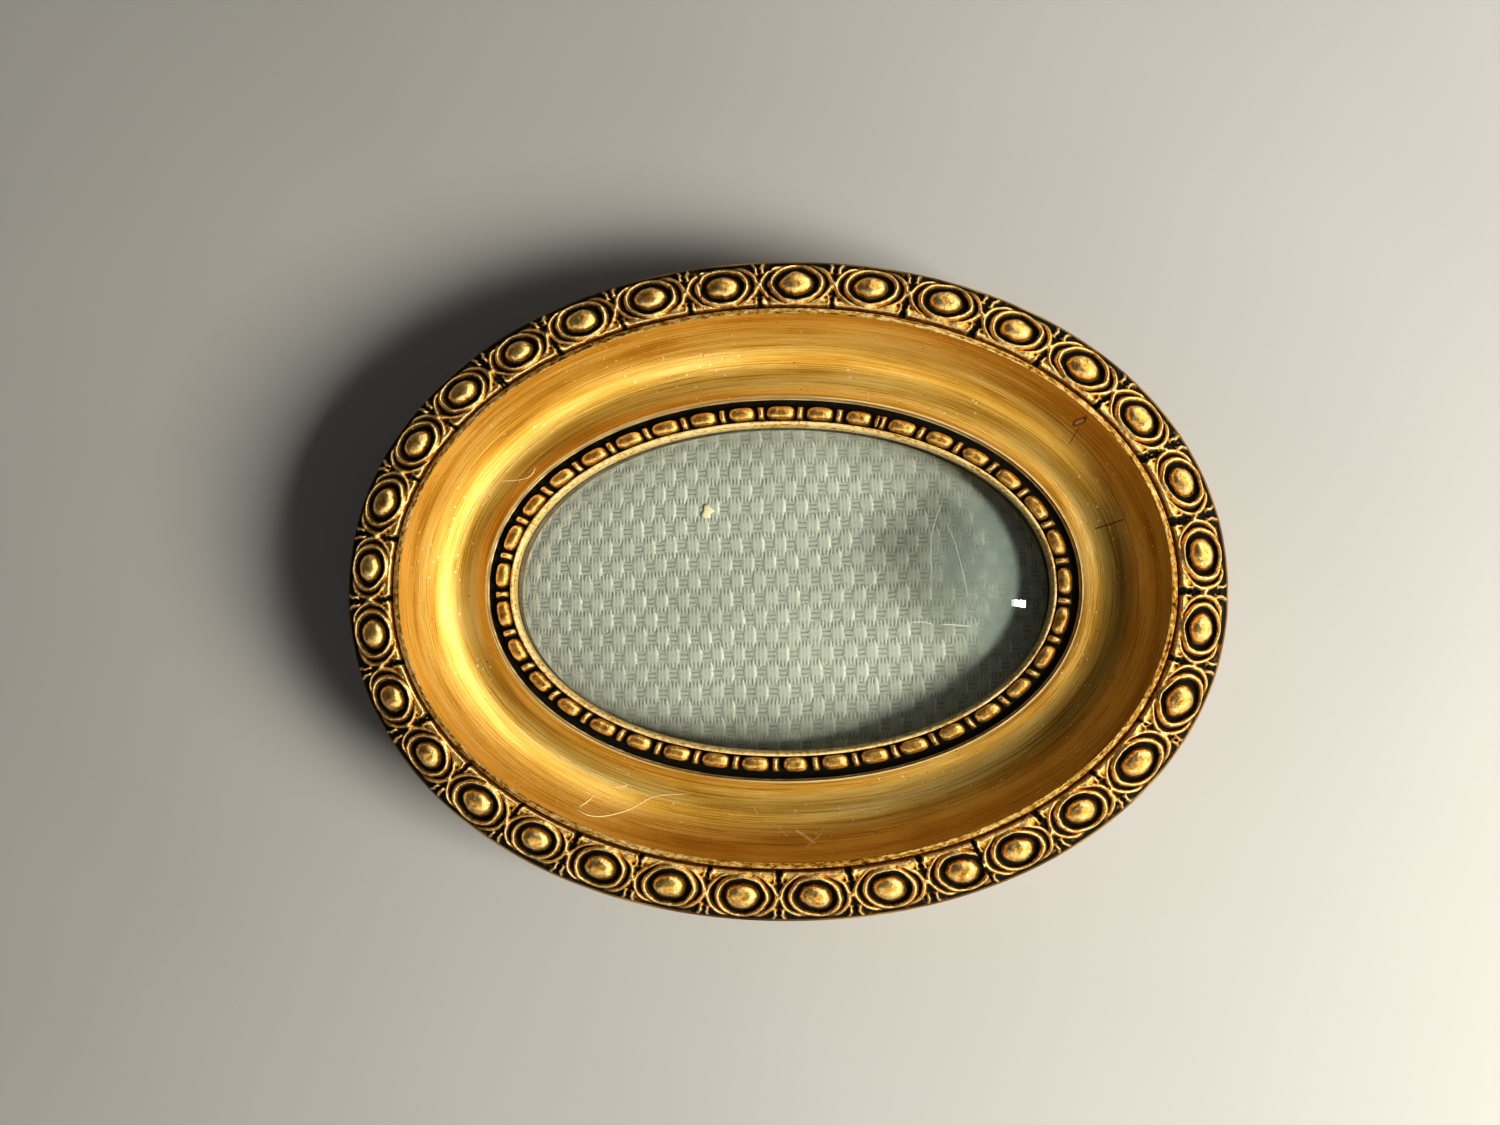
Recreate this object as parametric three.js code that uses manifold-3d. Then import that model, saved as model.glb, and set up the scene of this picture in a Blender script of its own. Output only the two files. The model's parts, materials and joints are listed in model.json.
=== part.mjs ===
// An oval gilt display frame for coins or medals, lying on its back.
// A turned wooden moulding carries cast egg-and-dart and bead-and-reel ornament round a deep cove.
// Behind the lip sit a domed glass, a spacer, a board covered in basket weave and a back board,
// which four turn buttons hold in. A ring hangs it on a wall.
// Millimetres, +X along the oval, +Y up the oval, +Z out of the front, z = 0 on the flat back.
import * as THREE from "three";
import { mergeVertices } from "three/addons/utils/BufferGeometryUtils.js";
import Module from "manifold-3d";

const wasm = await Module();
wasm.setup();

const fullTurn = 2 * Math.PI;

// The oval. An inset is measured inwards from the outermost edge, on both half axes alike.
const outerHalfLength = 102;
const outerHalfWidth = 76.5;
const fullness = 2.07; // 2 would be a plain ellipse
const ovalSteps = 64;

// Widths across the face, from the outer edge to the sight edge.
const stripInset = 0.5;
const eggStripWidth = 11.2;
const stripToFillet = 0.5;
const filletWidth = 1.3;
const coveWidth = 16.3;
const channelWidth = 6.1;
const lipWidth = 0.7;

// The back of the moulding.
const backEdgeInset = 5;
const backFilletHeight = 4;
const backRimWidth = 10;
const recessDepth = 2.6;
const rabbetUnderLip = 4.6;

// The stack in the rabbet, from the back to the glass.
const stackGap = 0.1;
const rabbetClearance = 0.5;
const backBoardThickness = 2;
const mountBoardThickness = 1.4;
const weaveThickness = 0.5;
const spacerHeight = 5;
const spacerWidth = 2;
const glassThickness = 1.6;
const glassFlange = 4.5;
const glassRise = 8;
const domeShares = [0, 0.12, 0.3, 0.5, 0.75, 1]; // rings of the dome, from its flange to its middle

// Heights up the face, from the glass to the rim.
const webThickness = 1.6;
const lipHeight = 1.4;
const channelDepth = 1.8;
const coveReturn = 1.4;
const coveLowest = 0.72; // share of the cove's width where it is deepest
const coveReach = 0.96; // share of the ellipse's half width used on the outer side
const coveSteps = 8;
const coveRise = 14;
const filletHeight = 1.4;
const landFall = 2;
const sideFilletHeight = 3.6;
const sideHollow = 4;
const hollowSteps = 4;
const edgeBreak = 0.25;

// Cast ornament, glued on.
const glueGap = 0.1;
const jointGap = 0.1;
const stripEdge = 0.9;
const eggCount = 32;
const cutFromLastEgg = 0.22; // of a unit, lost where the strip's ends meet
const eggJointAt = -0.5;
const eggCrackAt = 13.3;
const firstEggAt = -0.1414; // share of the way round from +X
const driftOnce = 0.0069;
const driftTwice = 0.0018;
const eggHalfLength = 3.75;
const eggHalfWidth = 2.85;
const eggRise = 3;
const eggShoulder = 0.7; // share of the egg's half length where its facets turn
const ringHalfLength = 5.6;
const ringHalfWidth = 4.15;
const ringRise = 2.2;
const ringBand = 0.14; // half its width, as a share of its half length
const dartGroove = 7;
const dartBeadRise = 1.6;

const beadCount = 37;
const beadStripWidth = 3.6;
const beadStripToLip = 0.15;
const beadStripEdge = 0.7;
const beadJointAt = 0.181; // share of the way round from +X
const barrelShare = 0.75; // of a bead and reel's length
const reelStart = 0.84;
const reelEnd = 0.96;
const beadEndShare = 0.09;
const barrelRise = 1.9;
const reelRise = 1.7;
const beadFacet = 2; // longest step along a barrel, so that it follows the lip's curve

// Turn buttons and their screws.
const buttonTurns = [0.11, 0.39, 0.61, 0.89]; // share of the way round from +X
const buttonThickness = 1;
const buttonWidth = 7;
const buttonArm = 13;
const buttonTail = 3.6;
const buttonHole = 1.6;
const buttonFromRabbet = 5;
const buttonGap = 0.1;
const plateCurve = 8; // steps in a half circle cut from plate
const screwShank = 1.3;
const screwHead = 2.8;
const screwHeadHeight = 1.1;
const screwLength = 8;
const screwPoint = 2;
const pilotGap = 0.15;
const slotWidth = 0.6;
const slotDepth = 0.5;
const slotRim = 0.3;
const screwSides = 14;
const headFlat = 0.55; // flat top of a screw's head, as a share of its radius
const headShoulder = 0.9;
const headShoulderHeight = 0.6; // as a share of the head's height

// Hanger: a folded strap, two screws and a D-ring.
const strapWidth = 9;
const strapLength = 13;
const strapThickness = 0.8;
const strapShoulder = 1; // from the barrel to where the strap is at its full width
const strapFromRabbet = 2.6;
const strapScrewAt = [4.2, 9.6]; // from the ring's pin line
const strapScrewHead = 2;
const strapScrewHeight = 0.9;
const strapScrewLength = 6;
const barrelOuter = 1.1;
const barrelInner = 0.7;
const barrelHalfLength = 3;
const ringWire = 0.5;
const ringHalfSpan = 4.2;
const ringDrop = 10;
// The right half of the D below its bar, as shares of the half span and of the drop.
const ringBend = [
  [0.91, 0.02],
  [1.06, 0.126],
  [1.15, 0.45],
  [0.75, 0.85],
];
const ringSeam = 0.15;
const ringSides = 8;
const ringSteps = 36;

// Insets that follow from the widths.
const stripInner = stripInset + eggStripWidth;
const filletInset = stripInner + stripToFillet;
const coveInset = filletInset + filletWidth;
const arrisInset = coveInset + coveWidth;
const lipInset = arrisInset + channelWidth;
const sightInset = lipInset + lipWidth;
const rabbetInset = sightInset - rabbetUnderLip;
const stackInset = rabbetInset + rabbetClearance;
const recessInset = backEdgeInset + backRimWidth;
const beadInner = lipInset - beadStripToLip;
const beadOuter = beadInner - beadStripWidth;

// Heights that follow from the stack and the face.
const backBoardZ = recessDepth + stackGap;
const mountBoardZ = backBoardZ + backBoardThickness + stackGap / 2;
const weaveZ = mountBoardZ + mountBoardThickness + stackGap / 2;
const spacerZ = weaveZ + weaveThickness + stackGap;
const glassZ = spacerZ + spacerHeight + stackGap;
const seatZ = glassZ + glassThickness + stackGap;
const channelZ = seatZ + webThickness;
const lipZ = channelZ + lipHeight;
const arrisZ = channelZ + channelDepth;
const coveBottomZ = arrisZ - coveReturn;
const filletZ = arrisZ + coveRise;
const landInnerZ = filletZ - filletHeight;
const landOuterZ = landInnerZ - landFall;

// A point of the oval, at an inset and a share of the way round.
function ovalPoint(inset, share) {
  const across = Math.cos(fullTurn * share);
  const up = Math.sin(fullTurn * share);
  const swell = (Math.abs(across) ** fullness + Math.abs(up) ** fullness) ** (-1 / fullness);
  const x = (outerHalfLength - inset) * swell * across;
  const y = (outerHalfWidth - inset) * swell * up;
  return new THREE.Vector3(x, y, 0);
}

class Oval extends THREE.Curve {
  constructor(inset) {
    super();
    this.inset = inset;
    this.arcLengthDivisions = 2000;
  }
  getPoint(share) {
    return ovalPoint(this.inset, share);
  }
  // Share of the way round that lies at a share of the outline's length.
  shareAtLength(part) {
    const laps = Math.floor(part);
    return laps + this.getUtoTmapping(part - laps);
  }
}

function ovalOutline(inset) {
  const points = [];
  for (let step = 0; step < ovalSteps; step++) {
    points.push(ovalPoint(inset, step / ovalSteps));
  }
  return points;
}

// A section, a list of [inset, z], turned round the oval. A closed section makes a ring,
// and one that starts and ends at the middle makes a disc or a dome.
function ovalLathe(section, closed = true) {
  const outline = closed ? [...section, section[0]] : section;
  const radii = outline.map(([inset, z]) => new THREE.Vector2(outerHalfWidth - inset, z));
  const lathe = new THREE.LatheGeometry(radii, ovalSteps);
  const place = lathe.getAttribute("position");
  for (let vertex = 0; vertex < place.count; vertex++) {
    const [inset, z] = outline[vertex % outline.length];
    const step = Math.floor(vertex / outline.length) % ovalSteps;
    const point = ovalPoint(inset, step / ovalSteps);
    place.setXYZ(vertex, point.x, point.y, z);
  }
  return lathe;
}

// A flat plate with an oval outline, and an oval opening if an inner inset is given.
function ovalPlate(inset, thickness, innerInset) {
  const shape = new THREE.Shape(ovalOutline(inset));
  if (innerInset !== undefined) {
    shape.holes.push(new THREE.Path(ovalOutline(innerInset).reverse()));
  }
  return new THREE.ExtrudeGeometry(shape, { depth: thickness, bevelEnabled: false });
}

// A closed solid through sections that have the same number of points, capped at both ends.
function loft(sections) {
  const around = sections[0].length;
  const last = (sections.length - 1) * around;
  const faces = [];
  for (let start = 0; start < last; start += around) {
    for (let side = 0; side < around; side++) {
      const next = start + ((side + 1) % around);
      faces.push(start + side, next + around, next);
      faces.push(start + side, start + side + around, next + around);
    }
  }
  for (let side = 1; side + 1 < around; side++) {
    faces.push(0, side, side + 1);
    faces.push(last, last + side + 1, last + side);
  }
  const geometry = new THREE.BufferGeometry();
  const places = sections.flat().flatMap((point) => point.toArray());
  geometry.setAttribute("position", new THREE.Float32BufferAttribute(places, 3));
  geometry.setIndex(faces);
  return geometry;
}

function solidOf(geometry) {
  const bare = geometry.clone();
  bare.deleteAttribute("normal");
  bare.deleteAttribute("uv");
  const merged = mergeVertices(bare);
  const mesh = new wasm.Mesh({
    numProp: 3,
    vertProperties: merged.getAttribute("position").array,
    triVerts: new Uint32Array(merged.index.array),
  });
  return new wasm.Manifold(mesh);
}

function geometryOf(solid) {
  const mesh = solid.getMesh();
  const geometry = new THREE.BufferGeometry();
  geometry.setAttribute("position", new THREE.BufferAttribute(mesh.vertProperties, 3));
  geometry.setIndex(new THREE.BufferAttribute(mesh.triVerts, 1));
  geometry.computeVertexNormals();
  return geometry;
}

function subtract(geometry, cutters) {
  let solid = solidOf(geometry);
  for (const cutter of cutters) {
    solid = solid.subtract(solidOf(cutter));
  }
  return geometryOf(solid);
}

// Points of an elliptical arc as [inset, z], from one angle to another.
function arc(centre, radii, from, to, steps) {
  const points = [];
  for (let step = 0; step <= steps; step++) {
    const angle = from + ((to - from) * step) / steps;
    points.push([
      centre[0] + radii[0] * Math.cos(angle),
      centre[1] + radii[1] * Math.sin(angle),
    ]);
  }
  return points;
}

// The hollow side, from the back fillet up to the fillet under the egg strip.
function sideHollowSection() {
  const top = landOuterZ - sideFilletHeight;
  const height = top - backFilletHeight;
  const points = [];
  for (let step = 0; step <= hollowSteps; step++) {
    const rise = step / hollowSteps;
    const hollow = sideHollow * Math.cos((rise * Math.PI) / 2);
    points.push([hollow + edgeBreak, backFilletHeight + height * rise]);
  }
  return points;
}

// The cove falls steeply from the fillet, runs flat and turns up a little to its arris.
function coveSection() {
  const lowest = coveWidth * coveLowest;
  const startAngle = Math.acos(-coveReach);
  const depth = (filletZ - edgeBreak - coveBottomZ) / (1 - Math.sin(startAngle));
  const centre = [coveInset + lowest, coveBottomZ + depth];
  const reach = lowest / coveReach;
  const endAngle = Math.acos((coveWidth - lowest) / reach);
  return arc(centre, [reach, depth], -startAngle, -endAngle, coveSteps);
}

function mouldingSection() {
  return [
    [backEdgeInset, 0],
    [backEdgeInset, backFilletHeight - edgeBreak],
    ...sideHollowSection(),
    [0, landOuterZ - sideFilletHeight + edgeBreak],
    [0, landOuterZ - edgeBreak],
    [stripInset, landOuterZ],
    [filletInset - edgeBreak, landInnerZ],
    [filletInset, filletZ - edgeBreak],
    [filletInset + edgeBreak, filletZ],
    [coveInset - edgeBreak, filletZ],
    ...coveSection(),
    [arrisInset + edgeBreak, channelZ],
    [lipInset, channelZ],
    [lipInset, lipZ - edgeBreak],
    [lipInset + edgeBreak, lipZ],
    [sightInset, lipZ - edgeBreak],
    [sightInset, seatZ],
    [rabbetInset, seatZ],
    [rabbetInset, recessDepth],
    [recessInset, recessDepth],
    [recessInset, 0],
  ];
}

// The glass is flat where it seats and rises to a shallow dome.
function glassSection() {
  const domeInset = stackInset + glassFlange;
  const domeReach = outerHalfWidth - domeInset;
  const dome = domeShares.map((share) => [
    domeInset + domeReach * share,
    glassZ + glassRise * share * (2 - share),
  ]);
  const upper = dome.map(([inset, z]) => [inset, z + glassThickness]);
  return [
    ...dome.reverse(),
    [stackInset, glassZ],
    [stackInset, glassZ + glassThickness],
    ...upper,
  ];
}

// Where a unit of the egg strip lies, as a share of the outline's length. The strip was laid
// by eye, so its pitch drifts a little on the way round.
function eggLength(unit) {
  const unitsRound = eggCount - cutFromLastEgg;
  const lap = (fullTurn * unit) / unitsRound;
  return unit / unitsRound + firstEggAt - driftOnce * Math.cos(lap) + driftTwice * Math.cos(2 * lap);
}

// Height of the egg strip over its edge, at a place along and across one unit.
function eggRelief(along, across) {
  const fromCentre = Math.hypot(along / eggHalfLength, across / eggHalfWidth);
  if (fromCentre < 1) {
    return eggRise * Math.sqrt(1 - fromCentre ** 2);
  }
  const fromRing = Math.hypot(along / ringHalfLength, across / ringHalfWidth);
  if (Math.abs(fromRing - 1) < ringBand) {
    return ringRise;
  }
  return Math.abs(along) > dartGroove && across === 0 ? dartBeadRise : 0;
}

function landHeight(inset) {
  return landOuterZ + (landFall * (inset - stripInset)) / (filletInset - stripInset);
}

function eggStrip(fromUnit, toUnit) {
  const middle = stripInset + eggStripWidth / 2;
  const oval = new Oval(middle);
  const pitch = oval.getLength() / (eggCount - cutFromLastEgg);
  const trim = jointGap / 2 / pitch;
  const domeStop = eggHalfLength * eggShoulder;
  const moatLength = (eggHalfLength + ringHalfLength) / 2;
  const moatWidth = (eggHalfWidth + ringHalfWidth) / 2;
  const halfUnit = [domeStop, moatLength, ringHalfLength, dartGroove];
  const halfWidth = [moatWidth, ringHalfWidth, eggStripWidth / 2];
  const bothWays = (stops) => [...stops.map((stop) => -stop).reverse(), 0, ...stops];
  const alongStops = [...bothWays(halfUnit), pitch / 2];
  const acrossStops = bothWays(halfWidth);
  const sectionAt = (unit, along) => {
    const share = oval.shareAtLength(eggLength(unit));
    const placed = (across, height) => {
      const inset = middle + across;
      return ovalPoint(inset, share).setZ(landHeight(inset) + glueGap + height);
    };
    const top = acrossStops.map((across) => placed(across, stripEdge + eggRelief(along, across)));
    const bottom = [placed(acrossStops[0], 0), placed(acrossStops.at(-1), 0)];
    return [bottom[0], ...top, bottom[1]];
  };
  const sections = [sectionAt(fromUnit + trim, 0.5 * pitch)];
  for (let unit = Math.floor(fromUnit); unit <= Math.ceil(toUnit); unit++) {
    for (const along of alongStops) {
      const at = unit + along / pitch;
      if (at > fromUnit + 2 * trim && at < toUnit - 2 * trim) {
        sections.push(sectionAt(at, along));
      }
    }
  }
  sections.push(sectionAt(toUnit - trim, 0.5 * pitch));
  return loft(sections);
}

// Bead and reel: barrels with a thin disc after each, and one disc more at the joint.
function beadStrip() {
  const middle = (beadOuter + beadInner) / 2;
  const oval = new Oval(middle);
  const unitsRound = beadCount + (reelEnd - reelStart);
  const trim = jointGap / 2 / oval.getLength();
  const barrelLength = ((barrelShare - 2 * beadEndShare) * oval.getLength()) / unitsRound;
  const barrelSteps = Math.ceil(barrelLength / beadFacet);
  const sectionAt = (unit, rise) => {
    const part = THREE.MathUtils.clamp(unit / unitsRound, trim, 1 - trim);
    const share = oval.shareAtLength(beadJointAt + part);
    const placed = (inset, height) => ovalPoint(inset, share).setZ(channelZ + glueGap + height);
    return [
      placed(beadOuter, 0),
      placed(beadOuter, beadStripEdge),
      placed(middle, beadStripEdge + rise),
      placed(beadInner, beadStripEdge),
      placed(beadInner, 0),
    ];
  };
  const sections = [sectionAt(0, reelRise), sectionAt(reelEnd - reelStart, reelRise)];
  for (let bead = 0; bead < beadCount; bead++) {
    const start = bead + 1 - reelStart;
    sections.push(sectionAt(start, 0));
    for (let step = 0; step <= barrelSteps; step++) {
      const along = THREE.MathUtils.lerp(beadEndShare, barrelShare - beadEndShare, step / barrelSteps);
      sections.push(sectionAt(start + along, barrelRise));
    }
    sections.push(sectionAt(start + barrelShare, 0));
    sections.push(sectionAt(start + reelStart, reelRise));
    sections.push(sectionAt(start + reelEnd, reelRise));
  }
  return loft(sections);
}

// A slotted wood screw along +Z, its head's underside at z = 0 and its head below that.
function screwGeometry(headRadius, headHeight, length) {
  const profile = [
    [0, -headHeight],
    [headRadius * headFlat, -headHeight],
    [headRadius * headShoulder, -headHeight * headShoulderHeight],
    [headRadius, 0],
    [screwShank, 0],
    [screwShank, length - screwPoint],
    [0, length],
  ];
  const points = profile.map(([radius, z]) => new THREE.Vector2(radius, z));
  const lathe = new THREE.LatheGeometry(points, screwSides).rotateX(Math.PI / 2);
  const slot = new THREE.BoxGeometry(2 * headRadius + slotRim, slotWidth, 2 * slotDepth);
  return subtract(lathe, [slot.translate(0, 0, -headHeight)]);
}

// Pilot hole round a screw's shank, in the moulding, from the recess floor up.
function pilotHole(centre, length) {
  const depth = length + pilotGap;
  const hole = new THREE.CylinderGeometry(screwShank + pilotGap, screwShank + pilotGap, depth, screwSides);
  return hole.rotateX(Math.PI / 2).translate(centre.x, centre.y, recessDepth + depth / 2 - pilotGap);
}

// A turn button's plate: its pivot at the middle, its arm along +X and its tail along -X.
function buttonPlate() {
  const round = buttonWidth / 2;
  const shape = new THREE.Shape();
  shape.absarc(buttonArm - round, 0, round, -Math.PI / 2, Math.PI / 2, false);
  shape.absarc(round - buttonTail, 0, round, Math.PI / 2, (3 * Math.PI) / 2, false);
  const hole = new THREE.Path();
  hole.absarc(0, 0, buttonHole, 0, fullTurn, true);
  shape.holes.push(hole);
  const depth = buttonThickness;
  return new THREE.ExtrudeGeometry(shape, { depth, bevelEnabled: false, curveSegments: plateCurve });
}

function buttonPivot(share) {
  return ovalPoint(rabbetInset - buttonFromRabbet, share);
}

// Direction from the oval's edge straight inwards, as an angle from +X.
function inwardAngle(share) {
  const along = new Oval(rabbetInset).getTangent(share - Math.floor(share));
  return Math.atan2(along.x, -along.y);
}

const ringLineY = outerHalfWidth - rabbetInset + strapFromRabbet;
const strapScrewPlaces = strapScrewAt.map((reach) => new THREE.Vector3(0, ringLineY + reach, 0));
const barrelZ = recessDepth - stackGap - barrelOuter;

// The hanger's strap: a plate with screw holes, rolled at its lower end round the ring's bar.
function hangerStrap() {
  const half = strapWidth / 2;
  const shape = new THREE.Shape();
  shape.moveTo(-barrelHalfLength, 0);
  shape.lineTo(barrelHalfLength, 0);
  shape.lineTo(half, barrelOuter + strapShoulder);
  shape.lineTo(half, strapLength - half);
  shape.absarc(0, strapLength - half, half, 0, Math.PI, false);
  shape.lineTo(-half, barrelOuter + strapShoulder);
  for (const reach of strapScrewAt) {
    const hole = new THREE.Path();
    hole.absarc(0, reach, buttonHole, 0, fullTurn, true);
    shape.holes.push(hole);
  }
  const depth = strapThickness;
  const plate = new THREE.ExtrudeGeometry(shape, { depth, bevelEnabled: false, curveSegments: plateCurve });
  plate.translate(0, 0, barrelOuter - strapThickness);
  const barrel = new THREE.CylinderGeometry(barrelOuter, barrelOuter, 2 * barrelHalfLength, screwSides);
  const bore = new THREE.CylinderGeometry(barrelInner, barrelInner, 2 * strapWidth, screwSides);
  const joined = solidOf(plate).add(solidOf(barrel.rotateZ(Math.PI / 2)));
  return geometryOf(joined.subtract(solidOf(bore.rotateZ(Math.PI / 2))));
}

// The D-ring's wire runs from the seam, inside the barrel, round the D and back to the seam.
function hangerRing() {
  const bend = ringBend.map(([span, drop]) => [ringHalfSpan * span, -ringDrop * drop]);
  const right = [[ringSeam, 0], [barrelHalfLength, 0], ...bend];
  const left = right.map(([x, y]) => [-x, y]).reverse();
  const route = [...right, [0, -ringDrop], ...left];
  const points = route.map(([x, y]) => new THREE.Vector3(x, y, 0));
  const extrudePath = new THREE.CatmullRomCurve3(points, false, "centripetal");
  const outline = [];
  for (let side = 0; side < ringSides; side++) {
    const angle = (fullTurn * side) / ringSides;
    outline.push(new THREE.Vector2(ringWire * Math.cos(angle), ringWire * Math.sin(angle)));
  }
  const wire = new THREE.Shape(outline);
  return new THREE.ExtrudeGeometry(wire, { steps: ringSteps, extrudePath });
}

const gilding = { color: 0xb98a2e, roughness: 0.35, metalness: 0.9 };
const materials = {
  moulding: new THREE.MeshStandardMaterial(gilding),
  ornament: new THREE.MeshStandardMaterial({ ...gilding, color: 0xc79a45 }),
  glass: new THREE.MeshStandardMaterial({
    color: 0xe8eee6,
    roughness: 0.05,
    metalness: 0,
    transparent: true,
    opacity: 0.35,
  }),
  spacer: new THREE.MeshStandardMaterial({ color: 0x17130f, roughness: 0.9, metalness: 0 }),
  weave: new THREE.MeshStandardMaterial({ color: 0x8d9380, roughness: 0.8, metalness: 0 }),
  card: new THREE.MeshStandardMaterial({ color: 0xb9ab8c, roughness: 0.9, metalness: 0 }),
  hardboard: new THREE.MeshStandardMaterial({ color: 0x5a4028, roughness: 0.8, metalness: 0 }),
  brass: new THREE.MeshStandardMaterial({ color: 0xa98645, roughness: 0.4, metalness: 1 }),
  steel: new THREE.MeshStandardMaterial({ color: 0x8b8a86, roughness: 0.35, metalness: 1 }),
};

const frame = new THREE.Group();

function addPiece(parent, name, geometry, material, z = 0) {
  const piece = new THREE.Mesh(geometry, material);
  piece.name = name;
  piece.position.z = z;
  parent.add(piece);
  return piece;
}

function addMoulding() {
  const screwHoles = buttonTurns.map((share) => pilotHole(buttonPivot(share), screwLength));
  const strapHoles = strapScrewPlaces.map((place) => pilotHole(place, strapScrewLength));
  const ring = ovalLathe(mouldingSection());
  addPiece(frame, "frame_core", subtract(ring, [...screwHoles, ...strapHoles]), materials.moulding);
}

function addOrnament() {
  const lastUnit = eggCount - cutFromLastEgg + eggJointAt;
  addPiece(frame, "egg_strip_right", eggStrip(eggJointAt, eggCrackAt), materials.ornament);
  addPiece(frame, "egg_strip_left", eggStrip(eggCrackAt, lastUnit), materials.ornament);
  addPiece(frame, "bead_strip", beadStrip(), materials.ornament);
}

function addStack() {
  const spacerInner = stackInset + spacerWidth;
  addPiece(frame, "domed_glass", ovalLathe(glassSection(), false), materials.glass);
  addPiece(frame, "spacer_ring", ovalPlate(stackInset, spacerHeight, spacerInner), materials.spacer, spacerZ);
  addPiece(frame, "basket_weave", ovalPlate(stackInset, weaveThickness), materials.weave, weaveZ);
  addPiece(frame, "mount_board", ovalPlate(stackInset, mountBoardThickness), materials.card, mountBoardZ);
  addPiece(frame, "back_board", ovalPlate(stackInset, backBoardThickness), materials.hardboard, backBoardZ);
}

function addTurnButtons() {
  buttonTurns.forEach((share, index) => {
    const station = new THREE.Group();
    station.position.copy(buttonPivot(share));
    station.rotation.z = inwardAngle(share);
    frame.add(station);
    const plateZ = recessDepth - buttonGap - buttonThickness;
    const number = index + 1;
    addPiece(station, "turn_button_" + number, buttonPlate(), materials.brass, plateZ);
    const screw = screwGeometry(screwHead, screwHeadHeight, screwLength);
    const screwZ = plateZ - buttonGap;
    addPiece(station, "turn_button_screw_" + number, screw, materials.steel, screwZ);
  });
}

function addHanger() {
  const station = new THREE.Group();
  station.position.set(0, ringLineY, barrelZ);
  frame.add(station);
  addPiece(station, "hanger_strap", hangerStrap(), materials.brass);
  addPiece(station, "hanger_ring", hangerRing(), materials.brass);
  const headZ = barrelOuter - strapThickness - buttonGap;
  strapScrewAt.forEach((reach, index) => {
    const screw = screwGeometry(strapScrewHead, strapScrewHeight, strapScrewLength);
    const piece = addPiece(station, "hanger_screw_" + (index + 1), screw, materials.steel, headZ);
    piece.position.y = reach;
  });
}

addMoulding();
addOrnament();
addStack();
addTurnButtons();
addHanger();

export default frame;
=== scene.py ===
import json
import math

import bmesh
import bpy
import numpy as np
from mathutils import Matrix, Vector

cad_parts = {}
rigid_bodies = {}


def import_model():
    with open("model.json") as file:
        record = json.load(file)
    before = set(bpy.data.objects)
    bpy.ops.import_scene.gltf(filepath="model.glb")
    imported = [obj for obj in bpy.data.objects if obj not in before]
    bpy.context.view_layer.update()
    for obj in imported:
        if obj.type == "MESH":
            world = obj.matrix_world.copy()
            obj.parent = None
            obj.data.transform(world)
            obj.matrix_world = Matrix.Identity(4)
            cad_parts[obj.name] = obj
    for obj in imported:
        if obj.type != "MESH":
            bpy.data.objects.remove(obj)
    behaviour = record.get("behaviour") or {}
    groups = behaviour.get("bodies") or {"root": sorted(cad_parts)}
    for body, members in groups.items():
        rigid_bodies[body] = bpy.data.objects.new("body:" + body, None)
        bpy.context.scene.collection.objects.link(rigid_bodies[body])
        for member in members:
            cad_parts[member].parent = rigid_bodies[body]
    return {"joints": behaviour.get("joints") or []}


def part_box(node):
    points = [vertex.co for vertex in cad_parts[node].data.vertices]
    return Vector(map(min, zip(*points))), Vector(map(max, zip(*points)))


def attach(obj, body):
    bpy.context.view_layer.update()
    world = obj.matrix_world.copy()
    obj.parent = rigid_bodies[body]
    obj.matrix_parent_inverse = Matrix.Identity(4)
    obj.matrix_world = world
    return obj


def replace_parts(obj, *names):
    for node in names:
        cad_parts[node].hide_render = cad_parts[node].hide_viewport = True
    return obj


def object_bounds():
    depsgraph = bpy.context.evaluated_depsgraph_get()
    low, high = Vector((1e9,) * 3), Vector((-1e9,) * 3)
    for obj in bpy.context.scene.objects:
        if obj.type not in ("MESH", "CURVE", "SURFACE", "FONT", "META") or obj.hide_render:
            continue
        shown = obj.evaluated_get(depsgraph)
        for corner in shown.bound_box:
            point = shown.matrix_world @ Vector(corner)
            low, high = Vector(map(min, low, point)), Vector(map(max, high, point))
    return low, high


scene = bpy.context.scene
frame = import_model()
cad_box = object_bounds()
joints = {joint["name"]: joint for joint in frame["joints"]}

# The shapes below are in millimetres, in the CAD's frame, and become metres as meshes are made.
MM = 0.001
TURN = 2 * math.pi

# The oval: an inset is measured inwards from the outermost edge, on both half axes alike.
cad_size = (cad_box[1] - cad_box[0]) / MM
half_length = cad_size.x / 2
half_width = cad_size.y / 2
fullness = 2.07

# Insets across the face, from the rim to the sight edge.
strip_outer = 0.5
strip_inner = 11.7
fillet_inset = 12.2
cove_inset = 13.5
arris_inset = 30.1
lip_inset = 35.9
sight_inset = 36.6
rabbet_inset = 32.0
recess_inset = 15.0
back_inset = 5.0

# Heights up the moulding.
recess_z = 2.6
back_fillet_z = 4.0
seat_z = 13.6
channel_z = 15.2
lip_z = 16.6
arris_z = 17.0
cove_bottom_z = 15.6
fillet_z = 31.0
land_inner_z = 29.6
land_outer_z = 27.6
side_fillet = 3.6
side_hollow = 4.0
glue_gap = 0.1

# Egg and dart: one unit is an egg in its ring between two darts.
strip_width = strip_inner - strip_outer
strip_middle = (strip_inner + strip_outer) / 2
eggs_round = 32 - 0.22  # the last egg is cut where the strip's ends meet
first_egg = -0.1414
egg_joint = -0.5
egg_crack = 13.3
hairline_crack = 12.36

# Half axes, along the strip and across it, of the parts of one unit.
arc_radii = (7.75, 5.25)
ring_radii = (5.4, 4.2)
egg_radii = (3.85, 2.95)

# Bead and reel.
bead_inner = lip_inset - 0.15
bead_width = 3.6
bead_middle = bead_inner - bead_width / 2
beads_round = 37 + 0.12
bead_joint = 0.181


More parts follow.
